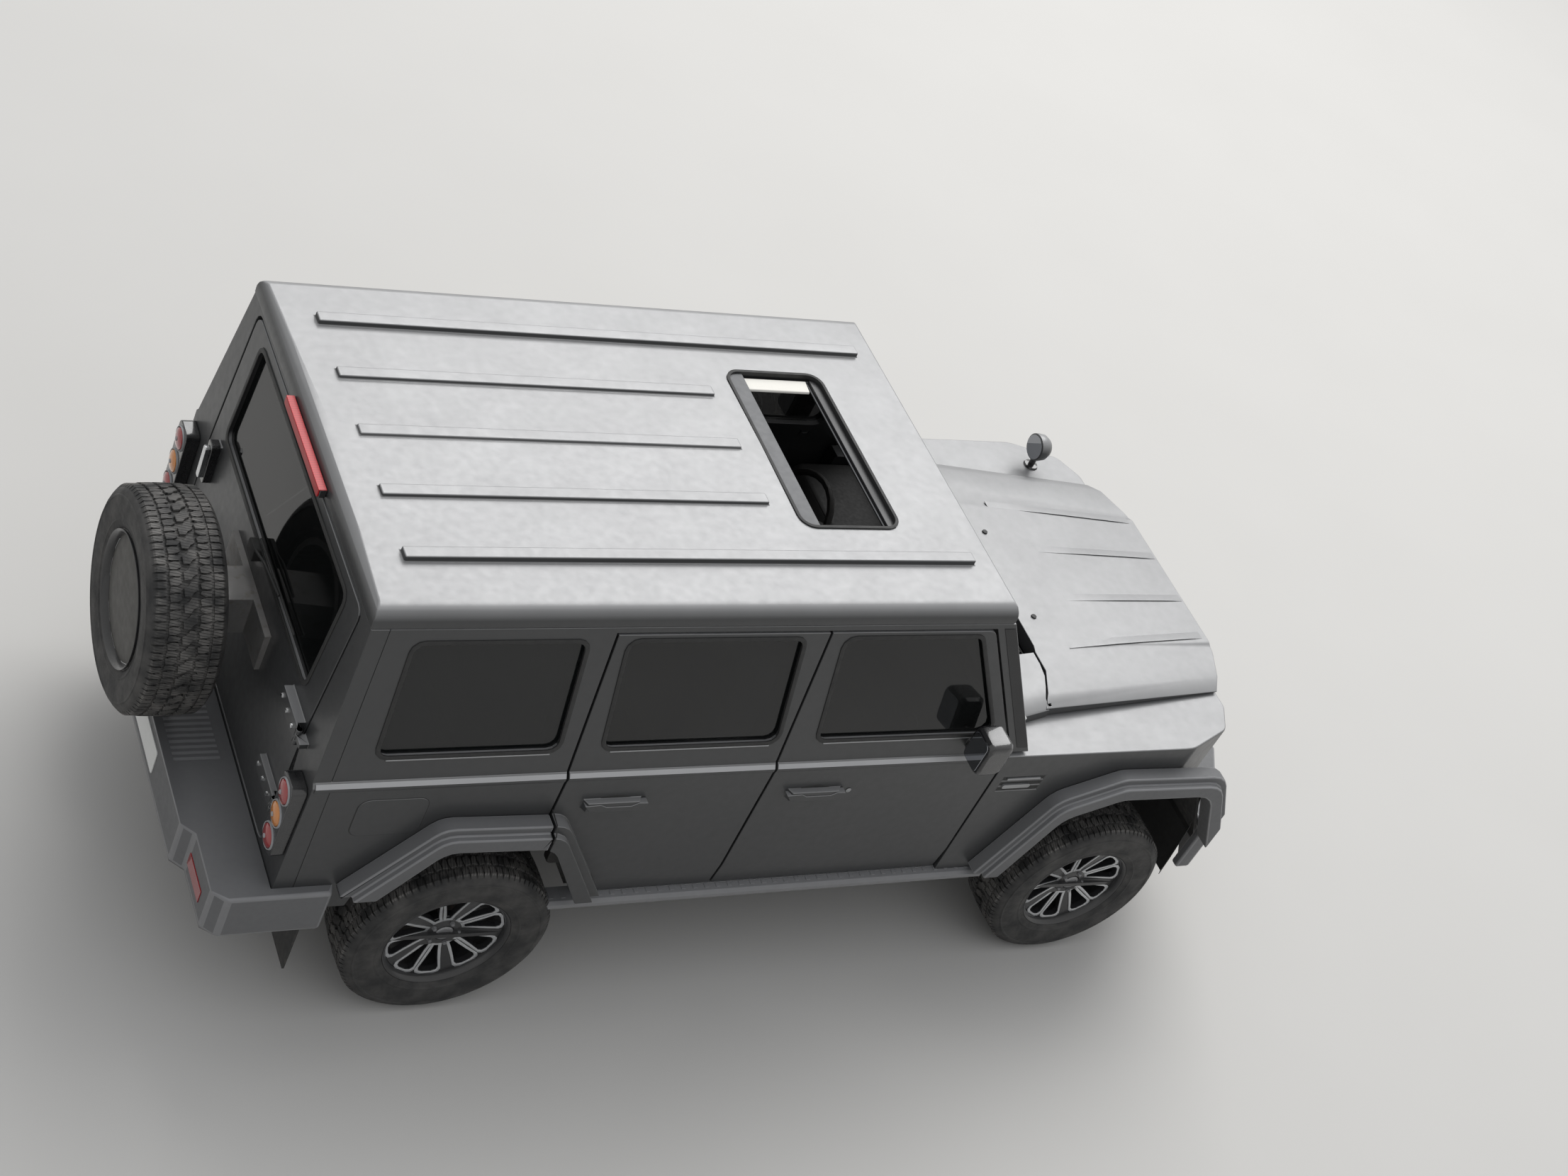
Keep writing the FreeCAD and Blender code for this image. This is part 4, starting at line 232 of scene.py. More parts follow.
def rolled(piece, width, edge_slot=-1, measure="OFFSET"):
    """Roll over the edges of a piece, and even out its shading."""
    edges = piece.modifiers.new("rolled_edges", "BEVEL")
    edges.width = width
    edges.segments = 2
    edges.limit_method = "ANGLE"
    edges.angle_limit = math.radians(30)
    edges.offset_type = measure
    edges.loop_slide = measure == "OFFSET"
    edges.use_clamp_overlap = False
    edges.material = edge_slot
    piece.data.shade_smooth()
    piece.modifiers.new("even_shading", "WEIGHTED_NORMAL")
    return piece


def clean_form(name, apart=None):
    """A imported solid's own form with its flats joined, without the faces that apart picks."""
    form = bmesh.new()
    form.from_mesh(nodes[name].data)
    bmesh.ops.remove_doubles(form, verts=form.verts, dist=0.00002)
    if apart:
        gone = [face for face in form.faces if apart(face.calc_center_median())]
        bmesh.ops.delete(form, geom=gone, context="FACES")
    bmesh.ops.dissolve_limit(form, angle_limit=math.radians(1.5), verts=form.verts, edges=form.edges)
    return form


def skin(name, finish, body="body", width=0.003, apart=None, edge_highlight_finish=None, lining=None, lined=None,
         measure="OFFSET"):
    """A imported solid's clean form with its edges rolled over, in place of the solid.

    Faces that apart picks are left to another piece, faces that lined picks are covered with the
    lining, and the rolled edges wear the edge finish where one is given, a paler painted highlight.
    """
    form = clean_form(name, apart)
    if lined:
        for face in form.faces:
            face.material_index = 1 if lined(face.normal, face.calc_center_median()) else 0
    mesh = bpy.data.meshes.new(name + "_skin")
    form.to_mesh(mesh)
    form.free()
    piece = stood(name + "_skin", mesh)
    wear(piece, finish)
    if edge_highlight_finish or lining:
        piece.data.materials.append((edge_highlight_finish or lining).material)
    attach(piece, body)
    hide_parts(name)
    return rolled(piece, width, 1 if edge_highlight_finish else -1, measure)


def grained(name, dark, light, cloud, rough, grain=None, **looks):
    """A finish that drifts between two tones.

    The drift is given as (scale, detail), the gloss as one value or as (scale, low, high) of its own
    drift, and the grain of the surface as (scale, depth, strength).
    """
    finish = Finish(name)
    if isinstance(rough, tuple):
        rough = finish.spread(finish.noise(rough[0]), *rough[1:])
    finish.set(base_color=finish.between(finish.noise(*cloud), dark, light), roughness=rough, **looks)
    if grain:
        finish.bump(finish.noise(grain[0]), *grain[1:])
    return finish


lining_cloth = grained("lining_cloth", (0.4, 0.37, 0.31), (0.5, 0.47, 0.4), (300.0, 4.0), 0.95,
                       (900.0, 0.0006, 0.4))
trim_black = grained("trim_black", (0.018, 0.018, 0.018), (0.03, 0.029, 0.028), (18.0, 4.0),
                     (70.0, -1.4, 1.8), (520.0, 0.0007, 0.45))


def faces_in(normal, place):
    """Faces of a side wall that look into the cabin."""
    return normal.y * place.y < 0 and abs(normal.y) > 0.5


wear(nodes["front_panel"], paint)
skin("cowl", paint)
skin("body_sides", paint, lining=trim_black, lined=faces_in, measure="WIDTH")
skin("rear_frame", paint, lining=trim_black, lined=lambda normal, place: normal.x > 0.7)
skin("roof", paint, width=0.005, lining=lining_cloth, lined=lambda normal, place: normal.z < -0.5)
skin("fenders", paint, width=0.006)
skin("bonnet", paint, "bonnet", width=0.004)
skin("tailgate", paint, "tailgate", lining=trim_black, lined=lambda normal, place: normal.x > 0.7)
for side in ("left", "right"):
    skin("door_front_" + side, paint, "door_front_" + side, lining=trim_black, lined=faces_in,
         apart=lambda place: abs(place.y) > 0.8975 and place.z > 1.29 and place.x > 0.5)
    skin("door_rear_" + side, paint, "door_rear_" + side, lining=trim_black, lined=faces_in)


# Tyres. Five all-terrain tyres of one kind, moulded in black rubber: a round carcass, and on its
# crown a zigzag centre row, two middle rows and fine shoulder blocks cut by thin slits.
class Shape:
    """A mesh in the making: each call adds one closed form in the slot that is set."""

    def __init__(self):
        self.form = bmesh.new()
        self.slot = 0

    def face(self, corners):
        face = self.form.faces.new(corners)
        face.material_index = self.slot

    def loft(self, rings, ends=True):
        """Skin over rings of points, closed at both ends or left open."""
        rows = [[self.form.verts.new(point) for point in ring] for ring in rings]
        for first, second in zip(rows, rows[1:]):
            for index, corner in enumerate(first):
                before = index - 1
                self.face((first[before], corner, second[index], second[before]))
        if ends:
            self.face(rows[0])
            self.face(rows[-1][::-1])
        return self

    def prism(self, outline, low, high, axis="z"):
        """An outline drawn across an axis, and drawn out from low to high along it."""
        return self.loft([[self.turned(u, v, w, axis) for u, v in outline] for w in (low, high)])

    def turned(self, u, v, w, axis):
        return {"x": (w, u, v), "y": (u, w, v), "z": (u, v, w)}[axis]

    def box(self, low, high):
        (x0, y0, z0), (x1, y1, z1) = low, high
        return self.prism([(x0, y0), (x1, y0), (x1, y1), (x0, y1)], z0, z1)

    def lathe(self, profile, centre=(0, 0, 0), axis="y", sides=32, closed=False):
        """A profile of (radius, place along the axis) turned about the axis."""
        rings = []
        for radius, along in profile:
            ring = []
            for step in range(sides):
                angle = math.tau * step / sides
                spot = self.turned(radius * math.cos(angle), radius * math.sin(angle), along, axis)
                ring.append(Vector(spot) + Vector(centre))
            rings.append(ring)
        if closed:
            rings.append(rings[0])
        return self.loft(rings, not closed)

    def tube(self, route, radius, sides=8):
        """A round bar along a route of points."""
        route = [Vector(point) for point in route]
        rings = []
        side = (route[1] - route[0]).normalized().orthogonal().normalized()
        for index, point in enumerate(route):
            run = (route[min(index + 1, len(route) - 1)] - route[max(index - 1, 0)]).normalized()
            side = (side - run * side.dot(run)).normalized()
            lift = run.cross(side)
            turns = [math.tau * step / sides for step in range(sides)]
            rings.append([point + (side * math.cos(turn) + lift * math.sin(turn)) * radius for turn in turns])
        return self.loft(rings)

    def piece(self, name, body, finishes, edge=0.0, angle=35.0, hold=None):
        """The object, with its shading, its rolled edges and the body that it rides on."""
        bmesh.ops.remove_doubles(self.form, verts=self.form.verts, dist=0.000001)
        bmesh.ops.recalc_face_normals(self.form, faces=self.form.faces)
        mesh = bpy.data.meshes.new(name)
        self.form.to_mesh(mesh)
        self.form.free()
        for finish in finishes:
            mesh.materials.append(finish.material)
        mesh.shade_smooth()
        mesh.set_sharp_from_angle(angle=math.radians(angle))
        piece = stood(name, mesh, hold)
        if edge:
            rolled(piece, edge)
        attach(piece, body)
        return piece


rubber = Finish("tyre_rubber")
rubber_x, rubber_y, rubber_z = rubber.parts(rubber.place())
rubber_reach = rubber.maths("SQRT", rubber_x * rubber_x + rubber_z * rubber_z)
rubber_turn = rubber.maths("ARCTAN2", rubber_z, rubber_x)
rubber_slits = rubber.maths("FRACT", rubber_turn * (240 / math.tau) + rubber_y * 22.0) < 0.16
rubber_rings = rubber.maths("FRACT", rubber_reach * 260.0) < 0.35
rubber_crown = rubber_reach > 0.378
rubber_wall = (rubber_reach > 0.262) * (rubber_reach < 0.34)
rubber_height = 1.0 - rubber_slits * rubber_crown - rubber_rings * rubber_wall * 0.25
rubber_dust = rubber.spread(rubber.noise(14.0, 6.0), 0.35, 0.72) * (0.35 + rubber_crown * 0.65)
rubber_tone = rubber.between(rubber_dust, (0.02, 0.02, 0.02), (0.14, 0.133, 0.124))
# The slits on the crown are coloured darker than clean rubber: painted shade in the cuts.
rubber.set(base_color=rubber.between(rubber_slits * rubber_crown, rubber_tone, (0.008, 0.008, 0.008)),
           roughness=rubber.spread(rubber.noise(60.0), -2.0, 1.3))
rubber.bump(rubber_height * 0.7 + rubber.noise(350.0) * 0.15, 0.0025, 0.8)

tread = Shape()
tread_radius = 0.3885
tread_base = 0.3785
carcass = [(0.233, 0.1), (0.236, 0.117), (0.25, 0.1225), (0.259, 0.1255), (0.262, 0.128), (0.265, 0.128),
           (0.268, 0.127), (0.29, 0.1312), (0.315, 0.1325), (0.338, 0.1318), (0.341, 0.1335), (0.346, 0.1335),
           (0.349, 0.13), (0.36, 0.1265), (0.37, 0.119), (0.376, 0.107), (0.3785, 0.09)]
tread.lathe(carcass + [(radius, -y) for radius, y in reversed(carcass)], sides=96, closed=True)
pitches = 46
middle_rows = (
    [(0.05, -0.021), (0.55, -0.024), (0.72, -0.008), (0.95, 0.0), (0.95, 0.021), (0.45, 0.024),
     (0.28, 0.008), (0.05, 0.0)],
    [(0.02, -0.066), (0.42, -0.07), (0.52, -0.052), (0.5, -0.034), (0.16, -0.029), (0.02, -0.045)],
    [(0.6, -0.07), (0.96, -0.066), (0.96, -0.046), (0.8, -0.029), (0.6, -0.033)],
)


def on_crown(turn, across, radius):
    """A point of the tread: the crown falls away by a few millimetres towards its shoulders."""
    radius -= 0.0042 * (across / 0.106) ** 2
    return (radius * math.cos(turn), across, radius * math.sin(turn))


def tread_block(outline, pitch):
    """One rubber block, narrowed a little at its top."""
    middle_u = sum(u for u, v in outline) / len(outline)
    middle_v = sum(v for u, v in outline) / len(outline)
    rings = []
    for radius, keep in ((tread_base - 0.001, 1.0), (tread_radius - 0.0014, 1.0), (tread_radius, 0.93)):
        ring = []
        for u, v in outline:
            turn = math.tau * (pitch + middle_u + (u - middle_u) * keep) / pitches
            ring.append(on_crown(turn, middle_v + (v - middle_v) * keep, radius))
        rings.append(ring)
    tread.loft(rings)


for pitch in range(pitches):
    tread_block(middle_rows[0], pitch)
    for outline in middle_rows[1:]:
        tread_block(outline, pitch)
        tread_block([(1 - u, -v) for u, v in outline], pitch + 0.3)
    for side in (-1, 1):
        for start in (0.04, 0.54):
            sections = []
            for across, radius in ((0.077, tread_radius - 0.002), (0.106, tread_radius - 0.0005),
                                   (0.1175, 0.3775), (0.1225, 0.369)):
                ring = []
                for u, drop in ((start, 0.01), (start, 0.0), (start + 0.38, 0.0), (start + 0.38, 0.01)):
                    ring.append(on_crown(math.tau * (pitch + u) / pitches, side * across, radius - drop))
                sections.append(ring)
            tread.loft(sections)

spare_y = -0.017
spare_z = 1.203
front_axle = 1.5675
rear_axle = -1.2325
axle_height = 0.388
spare_hold = Matrix.Translation((-2.25, spare_y, spare_z)) @ Matrix.Rotation(math.radians(90), 4, "Z")
wheel_places = {"spare": (spare_hold, "tailgate")}
for end, x in (("front", front_axle), ("rear", rear_axle)):
    for side, y in (("left", 0.805), ("right", -0.805)):
        hold = Matrix.Translation((x, y, axle_height)) @ Matrix.Rotation(0 if y > 0 else math.pi, 4, "Z")
        wheel_places[end + "_" + side] = (hold, "wheel_" + end + "_" + side)


def on_each_wheel(shape, label, finishes, angle, spare_lift=0.0):
    """The shape on all five wheels, as pieces that share one mesh."""
    pieces = {}
    for place, (hold, body) in wheel_places.items():
        if place == "spare":
            hold = hold @ Matrix.Translation((0, spare_lift, 0))
            pieces[place] = shape.piece(label + place, body, finishes, angle=angle, hold=hold)
        else:
            pieces[place] = stood(label + place, pieces["spare"].data, hold)
            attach(pieces[place], body)
    return pieces


for place, tyre in on_each_wheel(tread, "tread_", [rubber], 28.0).items():
    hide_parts("spare_tyre" if place == "spare" else "tyre_" + place)

# Wheels. Cast alloy, painted black, with ten long windows in five pairs whose outlines are machined
# bright, a small plain grey cap and five nuts.
alloy_black = grained("alloy_black", (0.01, 0.01, 0.011), (0.022, 0.022, 0.023), (18.0,),
                      (120.0, -1.0, 2.6), coat_weight=0.5, coat_roughness=0.12)
alloy_cut = Finish("alloy_machined")
alloy_x, _, alloy_z = alloy_cut.parts(alloy_cut.place())
alloy_reach = alloy_cut.maths("SQRT", alloy_x * alloy_x + alloy_z * alloy_z)
alloy_lines = alloy_cut.maths("FRACT", alloy_reach * 900.0)
alloy_tone = alloy_cut.between(alloy_cut.noise(40.0, 4.0), (0.5, 0.51, 0.52), (0.66, 0.67, 0.68))
alloy_cut.set(base_color=alloy_tone, metallic=0.85, roughness=0.3 + alloy_lines * 0.12)
alloy_cut.bump(alloy_lines, 0.0002, 0.4)
cap_grey = grained("cap_grey", (0.2, 0.2, 0.205), (0.27, 0.27, 0.275), (90.0,), 0.35, metallic=0.6)


def flat_plate(outlines, thickness, edge=0.0):
    """A flat plate in its own X and Y, with the first outline as its rim and the others as its holes."""
    curve = bpy.data.curves.new("outline", "CURVE")
    curve.dimensions = "2D"
    curve.fill_mode = "BOTH"
    curve.extrude = thickness / 2 - edge
    curve.bevel_depth = edge
    curve.bevel_resolution = 1
    curve.offset = -edge
    for outline in outlines:
        spline = curve.splines.new("POLY")
        spline.points.add(len(outline) - 1)
        spline.use_cyclic_u = True
        for point, (u, v) in zip(spline.points, outline):
            point.co = (u, v, 0.0, 1.0)
    holder = bpy.data.objects.new("outline", curve)
    mesh = bpy.data.meshes.new_from_object(holder)
    bpy.data.objects.remove(holder)
    bpy.data.curves.remove(curve)
    return mesh


def add_plate(shape, mesh, move):
    """Add a plate to a shape, with each point carried by the given rule."""
    before = len(shape.form.faces)
    shape.form.from_mesh(mesh)
    shape.form.faces.ensure_lookup_table()
    points = set()
    for face in shape.form.faces[before:]:
        face.material_index = shape.slot
        points.update(face.verts)
    for point in points:
        point.co = move(*point.co)


def wheel_window(middle, grow):
    """Outline of one long window, as points in the wheel's own plane; grow widens it all round."""
    inner = 0.078 - grow
    outer = 0.207 + grow
    halves = ((inner, 0.105), (inner + 0.03, 0.135), (0.15, 0.175), (outer - 0.018, 0.205),
              (outer - 0.005, 0.17), (outer, 0.085))
    corners = [(radius, half + grow / radius) for radius, half in halves]
    points = [(radius, middle + half) for radius, half in corners]
    points += [(radius, middle - half) for radius, half in reversed(corners)]
    return [(radius * math.cos(turn), radius * math.sin(turn)) for radius, turn in points]


def dished(lift):
    """Places a point of the flat face on the wheel: the face stands further out near the rim."""
    def move(u, v, w):
        reach = math.hypot(u, v)
        return (u, 0.066 + 0.022 * max(0.0, reach - 0.08) / 0.13 + lift + w, v)
    return move


window_turns = [math.tau * spoke / 5 + step for spoke in range(5) for step in (-0.262, 0.262)]
circle_turns = [math.tau * step / 72 for step in range(72)]
circle = [(0.2165 * math.cos(turn), 0.2165 * math.sin(turn)) for turn in circle_turns]
rim = Shape()
rim.lathe([(0.215, -0.112), (0.215, 0.06), (0.2185, 0.1), (0.227, 0.113), (0.234, 0.1165),
           (0.235, 0.115), (0.2345, 0.108), (0.2325, 0.1), (0.2325, -0.112)], sides=72, closed=True)
add_plate(rim, flat_plate([circle] + [wheel_window(turn, 0.0) for turn in window_turns], 0.022),
          dished(-0.012))
rim.lathe([(0.0, 0.03), (0.075, 0.03), (0.08, 0.058), (0.066, 0.07), (0.04, 0.073), (0.037, 0.067),
           (0.0, 0.067)], sides=40)
rim.slot = 1
for turn in window_turns:
    add_plate(rim, flat_plate([wheel_window(turn, 0.0105), wheel_window(turn, 0.0)], 0.005, 0.0008),
              dished(0.0005))
rim.slot = 2
rim.lathe([(0.0, 0.06), (0.034, 0.06), (0.0345, 0.074), (0.031, 0.0775), (0.024, 0.078), (0.022, 0.0765),
           (0.0, 0.0765)], sides=32)
for nut in range(5):
    turn = math.tau * (nut + 0.5) / 5
    rim.lathe([(0.0, 0.055), (0.0095, 0.055), (0.0095, 0.078), (0.0065, 0.0835), (0.0, 0.0835)],
              centre=(0.056 * math.cos(turn), 0, 0.056 * math.sin(turn)), sides=6)
for place, wheel in on_each_wheel(rim, "wheel_", [alloy_black, alloy_cut, cap_grey], 32.0, 0.012).items():
    if place != "spare":
        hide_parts("rim_" + place)

# Shoulder line. A pressed ledge along the doors and the quarter panel just under the windows, with a pale
# strip on its upper face, a painted highlight where it catches the sky. Each length belongs to its own panel
# and ends at the panel's gap.
shoulder_section = [(0.87, 1.224), (0.8915, 1.224), (0.8945, 1.232), (0.8948, 1.242), (0.893, 1.247),
                    (0.88, 1.261), (0.8765, 1.264), (0.87, 1.264)]
shoulder_painted_highlight = [(0.894, 1.244), (0.8955, 1.2455), (0.8845, 1.2595), (0.8825, 1.2585)]


def mirrored(outline, sign):
    """A cross section for one side of the vehicle: sign is 1 on the left and -1 on the right."""
    return [(sign * y, z) for y, z in outline]


# Pale finish for the shoulder ledge's upper face: a painted highlight of the sky, not a paint of its own.
painted_highlight_edge = grained("painted_highlight_edge", (0.36, 0.36, 0.365), (0.44, 0.44, 0.445), (6.0,), (60.0, -1.2, 2.6),
                   metallic=0.2, coat_weight=0.4)
sides = (("left", 1), ("right", -1))
for side, sign in sides:
    lengths = (("quarter", "body", -1.93, -1.0525), ("rear_door", "door_rear_" + side, -1.0425, -0.2375),
               ("front_door", "door_front_" + side, -0.2275, 0.7725))
    for place, body, rear, front in lengths:
        ledge = Shape().prism(mirrored(shoulder_section, sign), rear, front, "x")
        ledge.slot = 1
        ledge.prism(mirrored(shoulder_painted_highlight, sign), rear + 0.002, front - 0.002, "x")
        ledge.piece("shoulder_" + place + "_" + side, body, [paint, painted_highlight_edge])

# Window seals. Extruded black rubber pressed round every side pane, with a bright steel strip clipped
# along its foot. Each seal rides with the door or the body that holds its pane.
black_rubber = grained("seal_rubber", (0.012, 0.012, 0.012), (0.028, 0.028, 0.027), (60.0,),
                       (25.0, -1.5, 1.8), (500.0, 0.0004, 0.3))
bright_strip = grained("bright_strip", (0.3, 0.305, 0.31), (0.38, 0.385, 0.39), (20.0,), (200.0, -1.2, 3.0),
                       metallic=0.7)
side_profile = [(0.52, 0.874), (0.7, 0.892), (1.244, 0.892), (1.262, 0.878), (1.881, 0.796)]


def side_y(z):
    """Half width of the body at a height."""
    for (low, first), (high, second) in zip(side_profile, side_profile[1:]):
        if z <= high:
            break
    return first + (second - first) * (z - low) / (high - low)


def pane_outline(name, sign):
    """Outline of a side pane's outer face, as (x, z) points in order."""
    form = clean_form(name)
    outer = max((face for face in form.faces if face.normal.y * sign > 0.8),
                key=lambda face: face.calc_area())
    points = [(corner.co.x, corner.co.z) for corner in outer.verts]
    form.free()
    return points


def grown(outline, reach):
    """An outline moved outwards all round."""
    area = sum(a[0] * b[1] - b[0] * a[1] for a, b in zip(outline, outline[1:] + outline[:1]))
    turn = 1 if area > 0 else -1
    moved = []
    for index, (u, v) in enumerate(outline):
        before = Vector(outline[index - 1])
        after = Vector(outline[(index + 1) % len(outline)])
        here = Vector((u, v))
        first = (here - before).normalized()
        second = (after - here).normalized()
        normal = (Vector((first.y, -first.x)) + Vector((second.y, -second.x))) * turn
        normal.normalize()
        spread = max(0.4, normal.dot(Vector((first.y, -first.x)) * turn))
        moved.append(tuple(here + normal * reach / spread))
    return moved


for side, sign in sides:
    panes = (("quarter", "fixed_glass", "body"), ("rear_door", "glass_rear_" + side, "door_rear_" + side),
             ("front_door", "glass_front_" + side, "door_front_" + side))
    for place, node, body in panes:
        outline = pane_outline(node, sign)

        def on_side(u, v, w):
            return (u, sign * (side_y(v) + 0.0008 + w), v)

        seal = Shape()
        add_plate(seal, flat_plate([grown(outline, 0.011), grown(outline, -0.005)], 0.006, 0.0014), on_side)
        seal.slot = 1
        low = min(v for u, v in outline)
        foot = [u for u, v in outline if v < low + 0.002]
        rear = min(foot) - 0.004
        front = max(foot) + 0.012
        strip = [(rear, low - 0.0145), (front, low - 0.0145), (front, low - 0.0095), (rear, low - 0.0095)]
        add_plate(seal, flat_plate([strip], 0.008, 0.0012), on_side)
        seal.piece("seal_" + place + "_" + side, body, [black_rubber, bright_strip])

# Door handles. Cast grips in the body colour that stand over a black finger cup, two on each side,
# and a small key barrel by the front ones.
for side, sign in sides:
    for place, rear, front in (("rear", -0.9465, -0.705), ("front", -0.1425, 0.104)):
        grip = Shape()
        across = 0.892
        grip.prism([(rear, 1.118), (rear + 0.022, 1.09), (rear + 0.05, 1.083), (front - 0.012, 1.083),
                    (front, 1.096),
                    (front, 1.122), (front - 0.035, 1.124), (front - 0.06, 1.109), (rear + 0.085, 1.109),
                    (rear + 0.06, 1.122)], sign * (across + 0.0005), sign * (across + 0.0275), "y")
        grip.slot = 1
        middle = (rear + front) / 2
        cup = []
        for step in range(28):
            turn = math.tau * step / 28
            reach = 0.075 * (1 - 0.15 * abs(math.sin(turn)))
            cup.append((middle + reach * math.cos(turn), 1.116 + 0.027 * math.sin(turn)))
        grip.prism(cup, sign * (across - 0.002), sign * (across + 0.0012), "y")
        if place == "front":
            grip.slot = 2
            face = sign * across
            proud = face + sign * 0.0035
            grip.lathe([(0.0, face), (0.0115, face), (0.011, proud), (0.0, proud)],
                       centre=(front + 0.03, 0, 1.103), sides=24)
        grip.piece("handle_" + place + "_" + side, "door_" + place + "_" + side,
                   [paint, black_rubber, bright_strip], edge=0.0022)

# Door mirrors. Deep black housings on short arms, with a plain silvered pane that faces back and a
# thin clear repeater along the front.
gloss_black = grained("gloss_black", (0.008, 0.008, 0.009), (0.018, 0.018, 0.019), (7.0,), (30.0, -0.8, 4.0),
                      coat_weight=0.8, coat_roughness=0.06)
silvered = grained("silvered_glass", (0.26, 0.27, 0.29), (0.34, 0.35, 0.37), (3.0,), 0.03, metallic=1.0)
clear_lens = Finish("clear_lens")
clear_lines = clear_lens.maths("FRACT", clear_lens.parts(clear_lens.place())[1] * 140.0)
clear_lens.set(base_color=clear_lens.between(clear_lines, (0.42, 0.44, 0.46), (0.62, 0.64, 0.66)),
               roughness=0.08, coat_weight=1.0, alpha=0.28 + clear_lines * 0.22)
clear_lens.bump(clear_lines, 0.001, 0.5)


def round_box(x0, x1, z0, z1, corner, flats=3):
    """Outline of a rectangle with round corners."""
    points = []
    for x, z, start in ((x1 - corner, z1 - corner, 0), (x0 + corner, z1 - corner, 90),
                        (x0 + corner, z0 + corner, 180), (x1 - corner, z0 + corner, 270)):
        for step in range(flats + 1):
            turn = math.radians(start + 90 * step / flats)
            points.append((x + corner * math.cos(turn), z + corner * math.sin(turn)))
    return points


mirror_sections = ((0.9, 0.03, 0.004), (0.905, 0.012, 0.0), (0.92, 0.0, 0.0), (1.0, 0.0, 0.0),
                   (1.018, 0.008, 0.002), (1.027, 0.026, 0.006))
for side, sign in sides:
    mirror = Shape()
    rings = []
    for across, shrink, push in mirror_sections:
        outline = round_box(0.526 + shrink * 0.4, 0.642 - shrink + push, 1.301 + shrink, 1.467 - shrink,
                            0.026)
        rings.append([(x, sign * across, z) for x, z in outline])
    mirror.loft(rings)
    mirror.loft([[(x, sign * across, z + rise) for x, z in round_box(0.562, 0.606, 1.304, 1.352, 0.012)]
                 for across, rise in ((0.85, -0.012), (0.88, -0.006), (0.912, 0.0))])
    mirror.slot = 1
    mirror.prism(mirrored(round_box(0.915, 1.012, 1.318, 1.452, 0.016), sign), 0.5235, 0.5275, "x")
    mirror.slot = 2
    mirror.prism(mirrored(round_box(0.925, 1.014, 1.36, 1.372, 0.005), sign), 0.6405, 0.6445, "x")
    mirror.piece("door_mirror_" + side, "door_front_" + side, [gloss_black, silvered, clear_lens], edge=0.002)

# Fender vents. A black moulded pocket clipped into each front wing, with two bright bars, the lower
# one thicker.
for side, sign in sides:
    vent = Shape()
    vent.prism(round_box(0.827, 1.024, 1.0445, 1.1385, 0.012), sign * 0.8755, sign * 0.8775, "y")
    vent.prism(round_box(0.823, 1.028, 1.0405, 1.1425, 0.014), sign * 0.888, sign * 0.8885, "y")
    vent.slot = 1
    vent.prism(round_box(0.846, 1.004, 1.112, 1.122, 0.004), sign * 0.88, sign * 0.8955, "y")
    vent.prism(round_box(0.842, 0.972, 1.066, 1.086, 0.008), sign * 0.88, sign * 0.8975, "y")
    vent.piece("fender_vent_" + side, "body", [black_rubber, bright_strip], edge=0.001)

# Fuel door. A plain steel flap in the body colour, hinged in the right quarter panel and let in with a
# thin dark gap.
flap = Shape()
flap.prism(round_box(-1.7605, -1.5155, 0.998, 1.178, 0.04, 6), -0.8905, -0.8945, "y")
flap.slot = 1
flap.prism(round_box(-1.7635, -1.5125, 0.995, 1.181, 0.043, 6), -0.8905, -0.8928, "y")
flap.piece("fuel_door", "body", [paint, black_rubber], edge=0.0012)

# Side steps under the sills, wheel flares and bumpers. Moulded plastic in a slightly paler grey than
# the paint, with a fine grain. The flares' and bumpers' rolled edges wear a paler grey still, a painted
# highlight; the steps and the bumper treads are made all in that paler grey.
moulded = grained("moulded_grey", (0.105, 0.106, 0.108), (0.135, 0.136, 0.138), (3.0, 4.0), (45.0, -1.6, 1.6))
moulded.bump(moulded.noise(700.0, 2.0), 0.0005, 0.35)
# Paler grey: on the flares' and bumpers' rolled edges a painted highlight, on the steps and treads their
# plain colour.
pale_moulded_and_edge_highlight = grained("pale_moulded_and_edge_highlight", (0.165, 0.165, 0.168), (0.205, 0.205, 0.208), (14.0, 4.0),
                       (60.0, -1.2, 2.2), coat_weight=0.2)
skin("wheel_flares", moulded, width=0.006, edge_highlight_finish=pale_moulded_and_edge_highlight)
skin("rear_bumper", moulded, width=0.014, edge_highlight_finish=pale_moulded_and_edge_highlight, measure="ABSOLUTE")
skin("front_bumper", moulded, width=0.01, edge_highlight_finish=pale_moulded_and_edge_highlight)
for side, sign in sides:
    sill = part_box("door_front_" + side)[0][2] - 0.01
    step = Shape()
    step_section = [(0.845, sill - 0.05), (0.905, sill - 0.044), (0.922, sill - 0.03),
                    (0.922, sill - 0.012), (0.908, sill - 0.002), (0.845, sill)]
    step.prism(mirrored(step_section, sign), -0.965, 1.0, "x")
    for number in range(40):
        x = -0.94 + number * 0.049
        step.box((x, sign * 0.878 - 0.02, sill - 0.003), (x + 0.018, sign * 0.878 + 0.02, sill + 0.0012))
    step.piece("side_step_" + side, "body", [pale_moulded_and_edge_highlight], edge=0.0012)
door_gap = -1.0475
for side, sign in sides:
    joint = Shape()
    route = ((0.8935, 1.08), (0.955, 1.072), (0.9785, 1.04), (0.9785, 1.006))
    joint.tube([(door_gap, sign * y, z) for y, z in route], 0.0022)
    joint.piece("flare_joint_" + side, "body", [black_rubber])

# Cheeks beside the bonnet. Fixed plates in the body colour between the screen pillar and the
# bonnet's slanting rear corner, with a black pad at the foot of each pillar.
def struck(name, origin, direction):
    """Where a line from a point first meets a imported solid."""
    form = bmesh.new()
    form.from_mesh(nodes[name].data)
    place = BVHTree.FromBMesh(form).ray_cast(Vector(origin), Vector(direction))[0]
    form.free()
    return place


